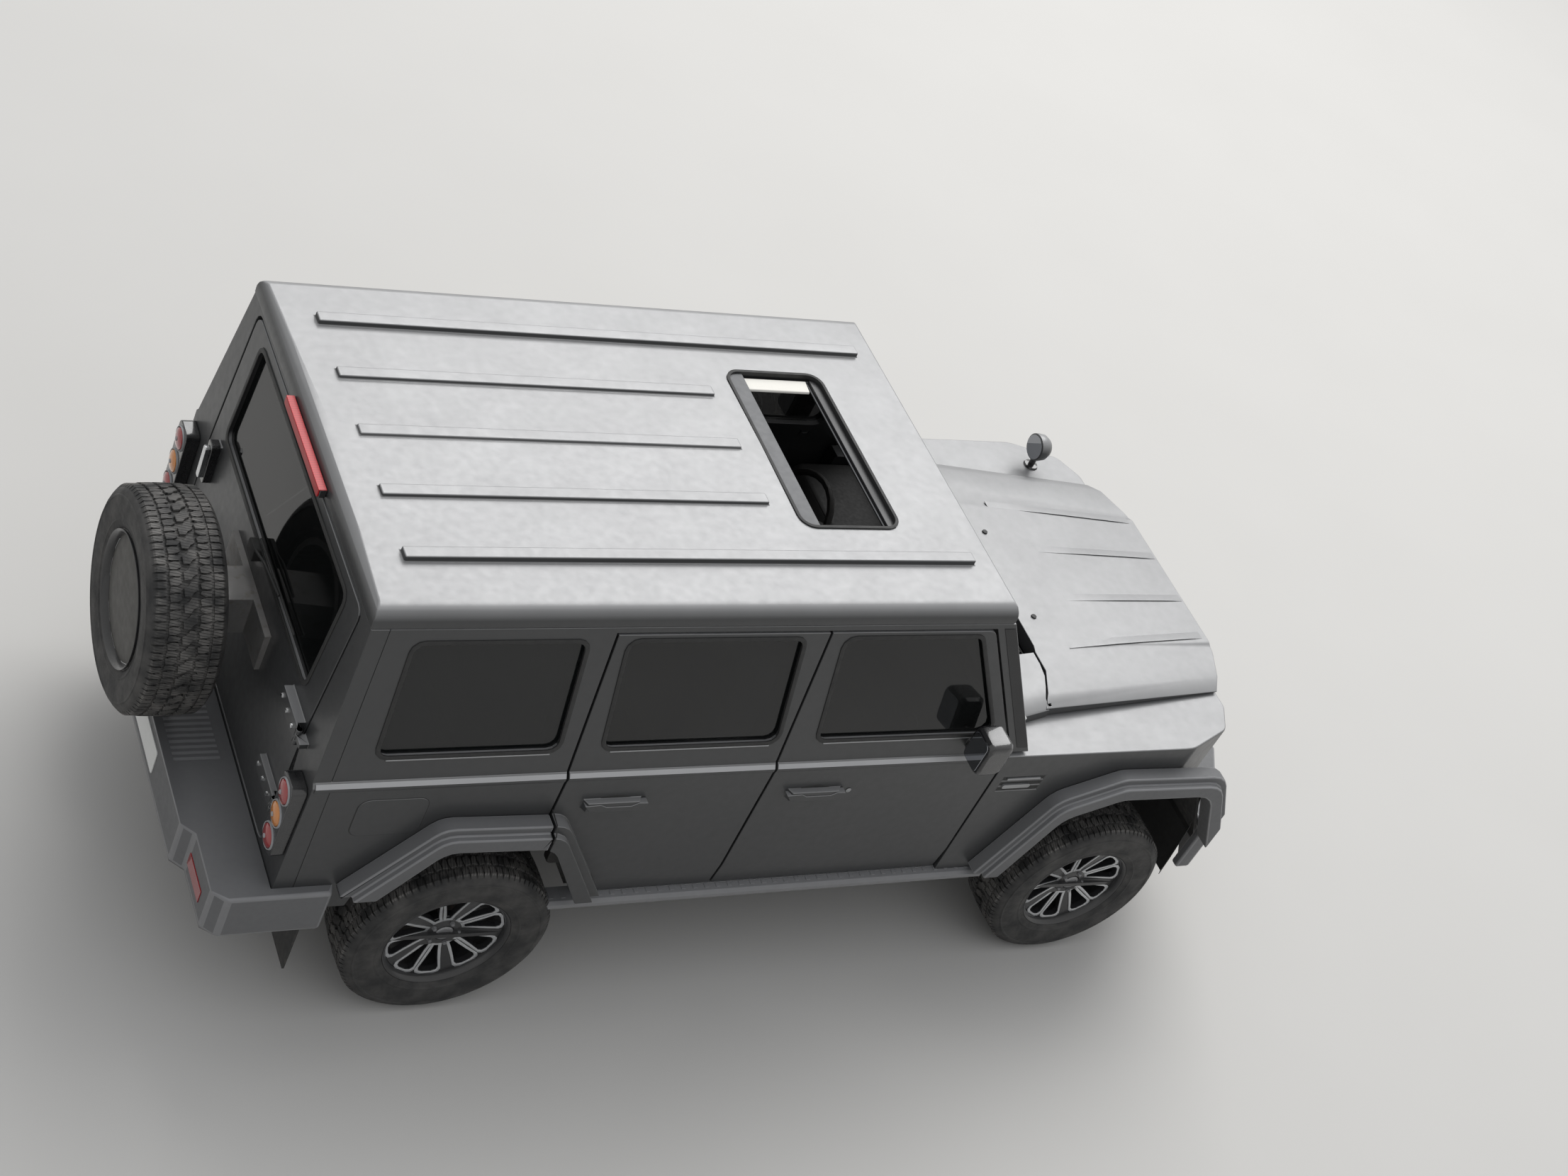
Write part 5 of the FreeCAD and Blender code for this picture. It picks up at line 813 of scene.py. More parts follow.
cheek_lines = []
for across in (0.42, 0.48, 0.54, 0.6, 0.65, 0.684):
    rise = struck("bonnet", (1.15, -across, 1.6), (0, 0, -1)).z
    cheek_lines.append((across, struck("bonnet", (0.9, -across, rise - 0.012), (1, 0, 0)).x - 0.01, rise))
for side, sign in sides:
    cheek = Shape()
    rings = []
    for share, spread in ((0.0, 0.046), (1.0, 0.008)):
        tops = []
        for across, front, rise in cheek_lines:
            tops.append((0.886 + (front - 0.886) * share, across + spread * across / 0.684, rise))
        front, outer, rise = tops[-1]
        tops += [(front, outer + 0.0075, rise - 0.007), (front, outer + 0.0095, 1.252)]
        under = [(x, across - 0.003, height - 0.004) for x, across, height in reversed(tops)]
        under[0] = (front, outer + 0.006, 1.252)
        rings.append([(x, sign * across, height) for x, across, height in tops + under])
    cheek.loft(rings)
    cheek.slot = 1
    cheek.lathe([(0.0, 1.33), (0.0085, 1.33), (0.008, 1.325), (0.0, 1.325)],
                centre=(0.94, sign * 0.56, 0), axis="z", sides=12)
    cheek.slot = 2
    cheek.prism([(x, sign * y) for x, y in [(0.862, 0.69), (0.902, 0.69), (0.902, 0.76), (0.862, 0.79)]],
                1.25, 1.316)
    cheek.piece("bonnet_cheek_" + side, "body", [paint, black_rubber, gloss_black], edge=0.001)


# Screen pillars. Satin black strips over the front of each windscreen pillar, and along the screen's
# head and foot the black printed edge of the glass.
window_foot = 1.262
window_height = 0.619
screen_foot = 0.8755
screen_lean = 0.346


def on_screen(across, height, proud):
    """A point of the windscreen's plane, by its distance from the middle and its height."""
    share = (height - window_foot) / window_height
    return (screen_foot - screen_lean * share + 0.873 * proud, across, height + 0.488 * proud)


pillar_black = grained("pillar_black", (0.01, 0.01, 0.011), (0.018, 0.018, 0.019), (4.0,), (6.0, -1.0, 2.5))
for side, sign in sides:
    strip = Shape()
    rings = []
    for height in (1.275, 1.45, 1.65, 1.868):
        outer = side_y(height) - 0.006
        section = ((outer - 0.088, 0.001), (outer - 0.084, 0.006), (outer - 0.01, 0.006), (outer, 0.001),
                   (outer, -0.004), (outer - 0.088, -0.01))
        rings.append([on_screen(sign * across, height, proud) for across, proud in section])
    strip.loft(rings)
    rings = []
    for height in (1.285, 1.45, 1.65, 1.86):
        front = on_screen(0, height, 0)[0] - 0.004
        rear = front - 0.048
        inner = sign * (side_y(height) - 0.004)
        outer = sign * (side_y(height) + 0.0022)
        rings.append([(front, inner, height), (front, outer, height), (rear, outer, height),
                      (rear, inner, height)])
    strip.loft(rings)
    strip.piece("screen_pillar_" + side, "body", [pillar_black])
screen_edge = Shape()
for low, high in ((1.268, 1.3), (1.824, 1.874)):
    corners = []
    for height, sign in ((low, -1), (low, 1), (high, 1), (high, -1)):
        corners.append((sign * (side_y(height) - 0.09), height))
    screen_edge.loft([[on_screen(y, z, proud) for y, z in corners] for proud in (0.0004, 0.0016)])
screen_edge.piece("screen_edge", "body", [pillar_black])

# Windscreen wipers. Two black steel arms on spindles in the cowl, with rubber blades, parked along
# the foot of the screen.
wipers = Shape()
for foot, tip in ((-0.1, -0.62), (0.46, -0.04)):
    wipers.lathe([(0.0, 1.262), (0.017, 1.262), (0.015, 1.28), (0.0, 1.284)], centre=(0.905, foot, 0),
                 axis="z", sides=16)
    pivot = Vector((0.905, foot, 1.278))
    elbow = Vector(on_screen(foot - 0.16, 1.318, 0.02))
    knee = pivot.lerp(elbow, 0.5) + Vector((0, 0, 0.008))
    middle = (foot + tip) / 2
    wipers.tube([pivot, knee, elbow, on_screen(middle, 1.335, 0.014)], 0.006)
    blade = [on_screen(foot - 0.02, 1.322, 0.002), on_screen(middle, 1.334, 0.004),
             on_screen(tip, 1.345, 0.002)]
    wipers.tube(blade, 0.0055)
wipers.piece("wipers", "body", [black_rubber])

# Cowl vent. A black plastic grating of thin ribs, clipped in across the foot of the windscreen.
grating = Shape()
for step in range(34):
    y = -0.53 + 1.06 * step / 33
    grating.box((0.905, y - 0.006, 1.2615), (1.1, y + 0.006, 1.2665))
for x in (0.9, 0.95, 1.0, 1.05, 1.098):
    grating.box((x, -0.54, 1.2605), (x + 0.006, 0.54, 1.268))
grating.piece("cowl_grating", "body", [black_rubber])

# Bonnet creases and washer jets. Four ridges pressed into the bonnet, which run to the nose with a
# steep flank towards the right, and two small rubber jets.
creases = Shape()
crease_lines = ((-0.4, -0.34, 1.3, 2.035), (-0.14, -0.125, 1.42, 2.055), (0.14, 0.125, 1.42, 2.055),
                (0.4, 0.34, 1.3, 2.035))
for rear_y, nose_y, rear_x, nose_x in crease_lines:
    rings = []
    for step in range(13):
        share = step / 12
        x = rear_x + (nose_x - rear_x) * share
        y = rear_y + (nose_y - rear_y) * share
        top = struck("bonnet", (x, y, 1.6), (0, 0, -1)).z
        rise = 0.0045 * min(1.0, share * 2.2) * min(1.0, (1 - share) * 8 + 0.15)
        section = ((-0.006, -0.002), (-0.0045, rise), (0.002, rise), (0.034, 0.0002), (0.034, -0.002))
        rings.append([(x, y + across, top + height) for across, height in section])
    creases.loft(rings)
creases.piece("bonnet_creases", "bonnet", [paint])
jets = Shape()
for y in (-0.24, 0.24):
    top = struck("bonnet", (1.2, y, 1.6), (0, 0, -1)).z
    jets.lathe([(0.0, top - 0.002), (0.013, top - 0.002), (0.011, top + 0.006), (0.0, top + 0.008)],
               centre=(1.2, y, 0), axis="z", sides=14)
jets.piece("washer_jets", "bonnet", [black_rubber])

# Sunroof. The glass panel is slid back, so the well is open: a black rubber seal and a black inner
# ring round it, a grey band at its rear and along its sides, a cream strip along the right lip that is a
# painted highlight, the cream blind's edge on the left, and a black gutter at the front.
blind_cloth = grained("blind_cloth", (0.62, 0.6, 0.55), (0.74, 0.72, 0.66), (400.0,), 0.9,
                      (900.0, 0.0006, 0.4))
pale_grey = grained("pale_grey_trim", (0.26, 0.265, 0.27), (0.32, 0.325, 0.33), (50.0,), (80.0, -1.5, 2.0))
well = round_box(-0.2355, 0.1775, -0.412, 0.412, 0.06, 8)
roof_seal = Shape()
outer_ring = ((0.002, 1.956), (0.002, 1.9745), (-0.004, 1.9765), (-0.01, 1.9745), (-0.01, 1.956))
inner_ring = ((-0.0005, 1.938), (-0.0005, 1.957), (-0.006, 1.957), (-0.006, 1.938))
for slot, section in enumerate((outer_ring, inner_ring)):
    roof_seal.slot = slot
    rings = [[(x, y, height) for x, y in grown(well, reach)] for reach, height in section]
    roof_seal.loft(rings + rings[:1], ends=False)
roof_seal.piece("sunroof_seal", "body", [black_rubber, pillar_black])
sunroof = Shape()
sunroof.prism([(-0.2345, -0.395), (-0.156, -0.404), (-0.156, 0.404), (-0.2345, 0.395)], 1.96, 1.965)
sunroof.box((-0.198, -0.404, 1.93), (0.17, -0.392, 1.944))
sunroof.box((-0.198, 0.392, 1.93), (0.17, 0.404, 1.944))
sunroof.slot = 1
# A cream strip along the right lip of the well: a painted highlight there, not a part.
sunroof.prism([(-0.15, -0.41), (0.12, -0.41), (0.12, -0.4), (-0.15, -0.4)], 1.956, 1.97)
blind_edge = ((0.392, 1.953), (0.338, 1.947), (0.334, 1.937), (0.392, 1.935))
sunroof.prism(blind_edge, -0.176, 0.12, "x")
sunroof.slot = 2
sunroof.box((0.132, -0.392, 1.93), (0.172, 0.392, 1.958))
sunroof.slot = 0
sunroof.box((0.126, -0.388, 1.94), (0.132, 0.388, 1.946))
sunroof.piece("sunroof_rails", "body", [moulded, blind_cloth, pillar_black], edge=0.003)

# Tail lamps. Tilted black housings screwed to the rear corners, each with three round lenses, red,
# amber and red, and a long red brake lamp at the head of the tailgate.
skin("tail_lamps", gloss_black, width=0.004)


def lens_finish(name, dark, bright):
    """Moulded lens plastic with a fine grid of prisms."""
    finish = Finish(name)
    _, y, z = finish.parts(finish.place())
    prisms = finish.maths("FRACT", y * 190.0) + finish.maths("FRACT", z * 190.0)
    finish.set(base_color=finish.between(prisms * 0.5, dark, bright), roughness=0.09, coat_weight=1.0,
               coat_roughness=0.03)
    finish.bump(prisms, 0.0012, 0.5)
    return finish


red_lens = lens_finish("red_lens", (0.16, 0.004, 0.006), (0.42, 0.012, 0.014))
amber_lens = lens_finish("amber_lens", (0.42, 0.12, 0.008), (0.72, 0.26, 0.02))
lens_profile = [(0.0, -2.0065), (0.016, -2.006), (0.03, -2.0035), (0.04, -1.9985), (0.0435, -1.991),
                (0.0, -1.991)]
lens_rim = [(0.044, -1.9915), (0.044, -1.9965), (0.047, -1.9975), (0.049, -1.9915)]
lens_boss = [(0.0, -2.01), (0.0075, -2.009), (0.009, -2.005), (0.0, -2.004)]
for side, sign in sides:
    lamp = Shape()
    for height, slot in ((0.939, 0), (1.0495, 1), (1.16, 0)):
        middle = (0, sign * 0.825, height)
        lamp.slot = slot
        lamp.lathe(lens_profile, middle, "x", 36)
        lamp.slot = 2
        lamp.lathe(lens_rim, middle, "x", 36, closed=True)
        lamp.lathe(lens_boss, middle, "x", 16)
    lamp.piece("tail_lenses_" + side, "body", [red_lens, amber_lens, pale_grey])
brake_lamp = Shape()
brake_lamp.prism(round_box(-0.2235, 0.2235, 1.883, 1.9135, 0.008), -1.9255, -1.9205, "x")
brake_lamp.prism([(-1.9255, -0.2235), (-1.897, -0.2235), (-1.897, 0.2235), (-1.9255, 0.2235)], 1.913, 1.9165)
brake_red = Finish("brake_red")
brake_lines = brake_red.maths("FRACT", brake_red.parts(brake_red.place())[1] * 90.0)
brake_red.set(base_color=brake_red.between(brake_lines, (0.3, 0.004, 0.006), (0.46, 0.01, 0.014)),
              roughness=0.38)
brake_red.bump(brake_red.noise(400.0), 0.0003, 0.3)
brake_lamp.piece("brake_lamp", "body", [brake_red], edge=0.0015)

# Rear reflectors, number plates and steps. Red reflectors let into the bumper's corners, blank
# plates at both ends, and ribbed treads along the bumper's flat top.
plate_white = grained("plate_blank", (0.62, 0.62, 0.6), (0.7, 0.7, 0.68), (30.0,), 0.4,
                      (300.0, 0.0002, 0.2))
reflectors = Shape()
for side, sign in sides:
    rings = []
    for step in range(5):
        y = 0.655 + 0.165 * step / 4
        rear = struck("rear_bumper", (-3.0, sign * y, 0.62), (1, 0, 0))
        corners = ((-0.004, 0.592), (-0.004, 0.648), (0.004, 0.648), (0.004, 0.592))
        rings.append([(rear.x + depth, sign * y, z) for depth, z in corners])
    reflectors.loft(rings)
reflectors.piece("reflectors", "body", [red_lens], edge=0.001)
plates = Shape()
plates.prism(round_box(-0.26, 0.26, 0.585, 0.697, 0.01), -2.195, -2.1905, "x")
plates.prism(round_box(-0.26, 0.26, 0.56, 0.672, 0.01), 2.3835, 2.3875, "x")
plates.piece("blank_plates", "body", [plate_white], edge=0.001)
treads = Shape()
for step in range(26):
    y = -0.325 + 0.65 * step / 25
    treads.box((-2.16, y - 0.006, 0.7375), (-2.0, y + 0.006, 0.7405))
treads.piece("bumper_treads", "body", [pale_moulded_and_edge_highlight])

# Tailgate furniture. A bright lever handle on the left, bolts through the hinge straps on the right,
# the window's rubber seal, the rear wiper, and a dark cover over the middle of the spare wheel, with a
# bright arc along part of its rim that is a painted highlight.
chrome = grained("chrome", (0.58, 0.59, 0.6), (0.68, 0.69, 0.7), (12.0,), (90.0, -0.9, 6.0), metallic=1.0)
lever = Shape()
lever.prism(round_box(0.574, 0.626, 1.172, 1.352, 0.014), -1.97, -1.938, "x")
lever.slot = 1
lever.prism(round_box(0.585, 0.613, 1.19, 1.334, 0.01), -1.988, -1.969, "x")
lever.piece("tailgate_handle", "tailgate", [gloss_black, chrome], edge=0.003)
bolts = Shape()
for height in (0.96, 1.3):
    for reach in (0.03, 0.095, 0.16):
        y = -0.7 + reach
        here = struck("tailgate", (-2.6, y, height), (1, 0, 0))
        bolts.lathe([(0.0, here.x - 0.007), (0.0085, here.x - 0.006), (0.0095, here.x), (0.0, here.x)],
                    (0, y, height), "x", 6)
bolts.piece("strap_bolts", "tailgate", [chrome])
tail_pane = clean_form("tailgate_glass")
tail_face = max((face for face in tail_pane.faces if face.normal.x < -0.8), key=lambda face: face.calc_area())
tail_outline = [(corner.co.y, corner.co.z) for corner in tail_face.verts]
tail_pane.free()


def on_tail(u, v, w):
    """A point on the tailgate's leaning upper face."""
    return (-1.9375 + 0.046 * (v - window_foot) / window_height - 0.0012 - w, u, v)


tail_seal = Shape()
add_plate(tail_seal, flat_plate([grown(tail_outline, 0.012), grown(tail_outline, -0.006)], 0.006, 0.0014),
          on_tail)
tail_seal.piece("tailgate_seal", "tailgate", [black_rubber])
tail_wiper = Shape()
tail_wiper.prism(round_box(0.02, 0.09, 1.34, 1.4, 0.012), -1.956, -1.93, "x")
tail_wiper.tube([(-1.95, 0.055, 1.385), (-1.945, -0.06, 1.42), (-1.936, -0.22, 1.43)], 0.006)
tail_wiper.tube([(-1.928, 0.06, 1.415), (-1.928, -0.16, 1.426), (-1.927, -0.4, 1.432)], 0.0055)
tail_wiper.piece("rear_wiper", "tailgate", [black_rubber], edge=0.002)
cover_grey = grained("cover_grey", (0.03, 0.029, 0.026), (0.05, 0.048, 0.042), (5.0, 4.0),
                     (30.0, -1.5, 2.2), (260.0, 0.0004, 0.3))
spokes = struck("spare_rim", (-3.0, spare_y, spare_z + 0.1), (1, 0, 0)).x
cover = Shape()
cover_profile = ((0.0, 0.034), (0.12, 0.033), (0.19, 0.03), (0.222, 0.024), (0.2275, 0.016),
                 (0.224, 0.004), (0.0, 0.004))
cover.lathe([(radius, spokes - proud) for radius, proud in cover_profile], (0, spare_y, spare_z), "x", 72)
# A bright arc over a third of the cover's rim: a painted highlight.
cover.slot = 1
cover_highlight_turns = [math.radians(100 + 10 * step) for step in range(12)]
cover_highlight_arc = [(0.23 * math.cos(turn), 0.23 * math.sin(turn)) for turn in cover_highlight_turns]
cover.tube([(spokes - 0.016, spare_y + y, spare_z + z) for y, z in cover_highlight_arc], 0.0032)
cover.piece("spare_cover", "tailgate", [cover_grey, bright_strip])

# Splash shields. Black plastic sheets behind the front wheels' arches that close the wing down to
# the bumper.
shield_line = ((1.945, 0.95), (1.98, 0.9), (2.045, 0.7), (2.066, 0.48), (2.072, 0.38))
for side, sign in sides:
    shield = Shape()
    rings = []
    for across in (0.5, 0.54, 0.85, 0.868):
        inset = 0.0 if 0.51 < across < 0.86 else -0.02
        face = [(x + inset, z) for x, z in shield_line]
        rings.append([(x, sign * across, z) for x, z in face + [(x + 0.004, z) for x, z in reversed(face)]])
    shield.loft(rings)
    shield.piece("splash_shield_" + side, "body", [black_rubber])

# Running gear. The ladder frame, axles, arms and exhaust are steel and iron under black chassis
# paint, dulled by road dust and with rust where stones have chipped them.
def road_worn(name, dark, light, rust, metallic=0.0, share=0.5):
    """A metal or plastic of the underside, with cloudy dirt and chipped spots."""
    finish = Finish(name)
    chipped = finish.spread(finish.noise(34.0, 6.0), 0.56, 0.72) * share
    dirty = finish.spread(finish.noise(5.0, 5.0), 0.25, 0.8)
    finish.set(base_color=finish.between(chipped, finish.between(dirty, dark, light), rust),
               metallic=metallic, roughness=finish.spread(finish.noise(40.0, 4.0), -1.0, 1.6))
    finish.bump(finish.noise(240.0, 5.0), 0.0012, 0.4)
    return finish


frame_black = road_worn("frame_black", (0.014, 0.014, 0.014), (0.04, 0.038, 0.035), (0.075, 0.038, 0.022))
cast_iron = road_worn("cast_iron", (0.045, 0.044, 0.043), (0.085, 0.08, 0.074), (0.14, 0.07, 0.04), 0.5)
cast_alloy = road_worn("cast_alloy", (0.22, 0.22, 0.22), (0.33, 0.32, 0.31), (0.16, 0.13, 0.1), 0.8, 0.4)
pipe_steel = road_worn("pipe_steel", (0.19, 0.17, 0.15), (0.3, 0.28, 0.25), (0.16, 0.08, 0.045), 0.9, 0.8)
tank_plastic = road_worn("tank_plastic", (0.016, 0.016, 0.017), (0.035, 0.034, 0.032), (0.1, 0.09, 0.075),
                         0.0, 0.3)
liner_felt = road_worn("liner_felt", (0.014, 0.014, 0.014), (0.03, 0.029, 0.027), (0.085, 0.075, 0.06), 0.0,
                       0.35)
worn_nodes = {"chassis_frame": frame_black, "front_suspension": frame_black, "rear_axle": cast_iron,
              "knuckle_left": cast_iron, "knuckle_right": cast_iron, "engine_block": cast_alloy,
              "driveline": cast_alloy, "spare_rim": cast_alloy, "exhaust": pipe_steel,
              "fuel_tank": tank_plastic, "wheel_liners": liner_felt}
for name, finish in worn_nodes.items():
    wear(nodes[name], finish)
under_seal = road_worn("under_seal", (0.03, 0.03, 0.03), (0.055, 0.052, 0.048), (0.1, 0.09, 0.07), 0.0,
                       0.3)
carpet = grained("carpet", (0.016, 0.016, 0.016), (0.04, 0.038, 0.036), (350.0, 4.0), 0.97,
                 (800.0, 0.002, 0.7))
skin("floor_pan", under_seal, lining=carpet,
     lined=lambda normal, place: normal.z > 0.6 or (normal.x < -0.6 and place.z > 0.62))

# Rear springs and dampers. Painted coil springs between the axle's seats and the frame, and dark
# dampers that lean in from the axle to a cross member.
spring_grey = road_worn("spring_grey", (0.05, 0.05, 0.052), (0.09, 0.088, 0.085), (0.16, 0.08, 0.045), 0.3)


def coil(shape, place, low, high, radius, wire, turns):
    """A coil spring that stands on its flat lowest turn."""
    steps = turns * 16
    route = []
    for step in range(steps + 1):
        angle = math.tau * turns * step / steps
        rise = low + wire + (high - low - 2 * wire) * step / steps
        route.append((place[0] + radius * math.cos(angle), place[1] + radius * math.sin(angle), rise))
    shape.tube(route, wire)


for side, sign in sides:
    springs = Shape()
    coil(springs, (rear_axle, sign * 0.52), 0.47, 0.64, 0.06, 0.0075, 5)
    springs.piece("rear_spring_" + side, "body", [spring_grey])
    dampers = Shape()
    foot = Vector((-1.32, sign * 0.64, 0.4))
    head = Vector((-1.4, sign * 0.56, 0.7))
    waist = foot.lerp(head, 0.52)
    dampers.tube([foot, waist], 0.026, 16)
    dampers.tube([waist, head], 0.019, 16)
    dampers.piece("rear_damper_" + side, "body", [frame_black])

# Brakes. Bare iron discs bolted to the hubs inside the rims, which turn with their wheels.
for side, sign in sides:
    for place, x in (("front", front_axle), ("rear", rear_axle)):
        rotor = Shape()
        section = ((0.06, 0.746), (0.158, 0.746), (0.16, 0.748), (0.16, 0.768), (0.158, 0.77),
                   (0.06, 0.77))
        rotor.lathe([(radius, sign * y) for radius, y in section], (x, 0, axle_height), "y", 56, closed=True)
        rotor.piece("brake_disc_" + place + "_" + side, "wheel_" + place + "_" + side, [pipe_steel])

# Skid plate. A ribbed alloy sheet below the engine, bolted to the frame.
skid = Shape()
skid.prism([(1.98, -0.33), (1.98, 0.33), (1.42, 0.3), (1.42, -0.3)], 0.35, 0.3535)
for y in (-0.2, -0.1, 0.0, 0.1, 0.2):
    skid.prism([(y - 0.012, 0.35), (y + 0.012, 0.35), (y + 0.006, 0.344), (y - 0.006, 0.344)], 1.46,
               1.94, "x")
skid.piece("skid_plate", "body", [cast_alloy], edge=0.001)

# Front lamps and mesh. Headlamps with clear lenses, chrome rings and black bulb caps, round fog lamps
# and amber blinkers in the bumper, the bumper's ribbed intake, and the black mesh behind the grille.
wear(nodes["headlamps"], silvered)
for side, sign in sides:
    lamp = Shape()
    middle = (0, sign * 0.462, 1.07)
    face = struck("headlamps", (3.0, sign * 0.462, 1.07), (-1, 0, 0)).x
    lens = ((0.0, 0.02), (0.04, 0.018), (0.07, 0.011), (0.083, 0.002), (0.083, -0.002), (0.0, -0.002))
    lamp.lathe([(radius, face + proud) for radius, proud in lens], middle, "x", 48)
    lamp.slot = 1
    outer_ring = ((0.0835, -0.004), (0.0835, 0.006), (0.089, 0.009), (0.094, 0.005), (0.094, -0.004))
    inner_ring = ((0.05, -0.001), (0.05, 0.004), (0.053, 0.004), (0.053, -0.001))
    for ring in (outer_ring, inner_ring):
        lamp.lathe([(radius, face + proud) for radius, proud in ring], middle, "x", 48, closed=True)
    lamp.slot = 2
    cap = ((0.0, 0.0165), (0.014, 0.015), (0.019, 0.01), (0.021, -0.001), (0.0, -0.001))
    lamp.lathe([(radius, face + proud) for radius, proud in cap], middle, "x", 32)
    lamp.piece("headlamp_lens_" + side, "body", [clear_lens, chrome, gloss_black])
    middle = (0, sign * 0.64, 0.6)
    face = struck("front_bumper", (3.0, sign * 0.64, 0.6), (-1, 0, 0)).x
    fog = Shape()
    lens = ((0.0, 0.008), (0.036, 0.006), (0.046, 0.001), (0.046, -0.04), (0.0, -0.04))
    fog.lathe([(radius, face + proud) for radius, proud in lens], middle, "x", 36)
    fog.slot = 1
    ring = ((0.0465, -0.04), (0.0465, 0.005), (0.052, 0.007), (0.056, 0.002), (0.056, -0.04))
    fog.lathe([(radius, face + proud) for radius, proud in ring], middle, "x", 36, closed=True)
    fog.piece("fog_lamp_" + side, "body", [clear_lens, gloss_black])
    blinker = Shape()
    face = struck("front_bumper", (3.0, sign * 0.78, 0.6), (-1, 0, 0)).x
    blinker.prism(mirrored(round_box(0.74, 0.82, 0.585, 0.625, 0.012), sign), face - 0.04, face + 0.01,
                  "x")
    blinker.piece("front_blinker_" + side, "body", [amber_lens], edge=0.0015)
intake = Shape()
intake.prism(round_box(-0.3, 0.3, 0.486, 0.546, 0.012), 2.379, 2.3845, "x")
for step in range(25):
    y = -0.288 + 0.024 * step
    intake.box((2.384, y - 0.003, 0.49), (2.386, y + 0.003, 0.542))
intake.piece("bumper_intake", "body", [black_rubber], edge=0.0008)
grid = Shape()
for step in range(34):
    y = -0.34 + 0.68 * step / 33
    grid.box((1.95, y - 0.002, 0.852), (1.954, y + 0.002, 1.178))
for step in range(16):
    z = 0.856 + 0.318 * step / 15
    grid.box((1.946, -0.342, z - 0.002), (1.95, 0.342, z + 0.002))
grid.slot = 1
grid.box((1.92, -0.345, 0.85), (1.94, 0.345, 1.18))
grid.piece("grille_mesh", "body", [black_rubber, tank_plastic])

# Wing mirror. A round mirror for the ground beside the front wheel, bolted to the left front wing: a
# black foot and stalk, a bowl in the body colour and a silvered pane that faces back.
mirror_y = 0.742
mirror_z = 1.358
wing_mirror = Shape()
bowl = [(0.0, 1.7015), (0.052, 1.7005), (0.06, 1.7045), (0.061, 1.718), (0.057, 1.744),
        (0.042, 1.766),
        (0.02, 1.779), (0.0, 1.782)]
wing_mirror.lathe(bowl, (0, mirror_y, mirror_z), "x", 40)
wing_mirror.slot = 1
wing_mirror.tube([(1.738, mirror_y, 1.2515), (1.738, mirror_y, 1.275), (1.738, mirror_y, 1.305)], 0.014, 14)
wing_mirror.lathe([(0.0, 1.251), (0.034, 1.251), (0.03, 1.259), (0.0, 1.261)], (1.738, mirror_y, 0), "z",
                  24)
wing_mirror.slot = 2
mirror_glass = [(0.0, 1.6995), (0.054, 1.6995), (0.054, 1.701), (0.0, 1.701)]
wing_mirror.lathe(mirror_glass, (0, mirror_y, mirror_z), "x", 40)
round_mirror = wing_mirror.piece("wing_mirror", "body", [paint, gloss_black, silvered])
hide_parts("fender_mirror")

# Dashboard, steering wheel and console. Grained black moulding with round vents, a dark screen, a
# glove box lid and a row of switches, a leather rim, a gear lever on the tunnel and three pedals.
skin("dashboard", trim_black, width=0.008)
leather = grained("leather", (0.02, 0.019, 0.018), (0.034, 0.032, 0.03), (14.0, 4.0), (50.0, -1.2, 2.0))
leather.bump(leather.cells(420.0), 0.001, 0.5)
skin("steering_wheel", leather, "steering_wheel", width=0.003)
skin("sunroof_frame", gloss_black, width=0.002)
console = Shape()
for y in (-0.64, -0.085, 0.085, 0.64):
    face = struck("dashboard", (0.0, y, 1.165), (1, 0, 0)).x
    console.slot = 1
    console.lathe([(0.03, face - 0.004), (0.04, face - 0.009), (0.044, face - 0.004), (0.044, face + 0.006),
                   (0.03, face + 0.006)],
                  centre=(0, y, 1.165), axis="x", sides=28, closed=True)
    console.slot = 0
    for rib in (-0.016, 0.0, 0.016):
        console.box((face - 0.004, y - 0.03, 1.165 + rib - 0.002),
                    (face + 0.004, y + 0.03, 1.165 + rib + 0.002))
face = struck("dashboard", (0.0, 0.0, 1.06), (1, 0, 0)).x
console.slot = 2
console.prism(round_box(-0.125, 0.125, 1.02, 1.118, 0.01), face - 0.006, face + 0.002, "x")
console.slot = 0
for step in range(7):
    y = -0.105 + 0.035 * step
    console.box((face - 0.007, y - 0.013, 0.975), (face + 0.002, y + 0.013, 1.0))
face = struck("dashboard", (0.0, -0.42, 1.02), (1, 0, 0)).x
console.prism(round_box(-0.64, -0.21, 0.955, 1.09, 0.02), face - 0.005, face + 0.002, "x")
console.box((-0.26, -0.098, 0.6), (0.4, 0.098, 0.76))
console.box((-0.52, -0.09, 0.76), (-0.12, 0.09, 0.88))
console.slot = 1
console.tube([(0.12, 0.0, 0.758), (0.11, 0.0, 0.84)], 0.008, 12)
console.slot = 2
console.lathe([(0.0, 0.895), (0.018, 0.888), (0.026, 0.866), (0.02, 0.842), (0.0, 0.836)],
              centre=(0.11, 0, 0), axis="z", sides=24)
console.piece("console", "body", [trim_black, bright_strip, gloss_black], edge=0.003)
pedals = Shape()
for y, low in ((0.47, 0.7), (0.372, 0.715), (0.29, 0.69)):
    pedals.prism(round_box(y - 0.03, y + 0.03, low, low + 0.08, 0.01), 0.56, 0.572, "x")
    pedals.tube([(0.57, y, low + 0.06), (0.64, y, low + 0.14), (0.68, y, low + 0.24)], 0.008)
pedals.piece("pedals", "body", [trim_black], edge=0.002)

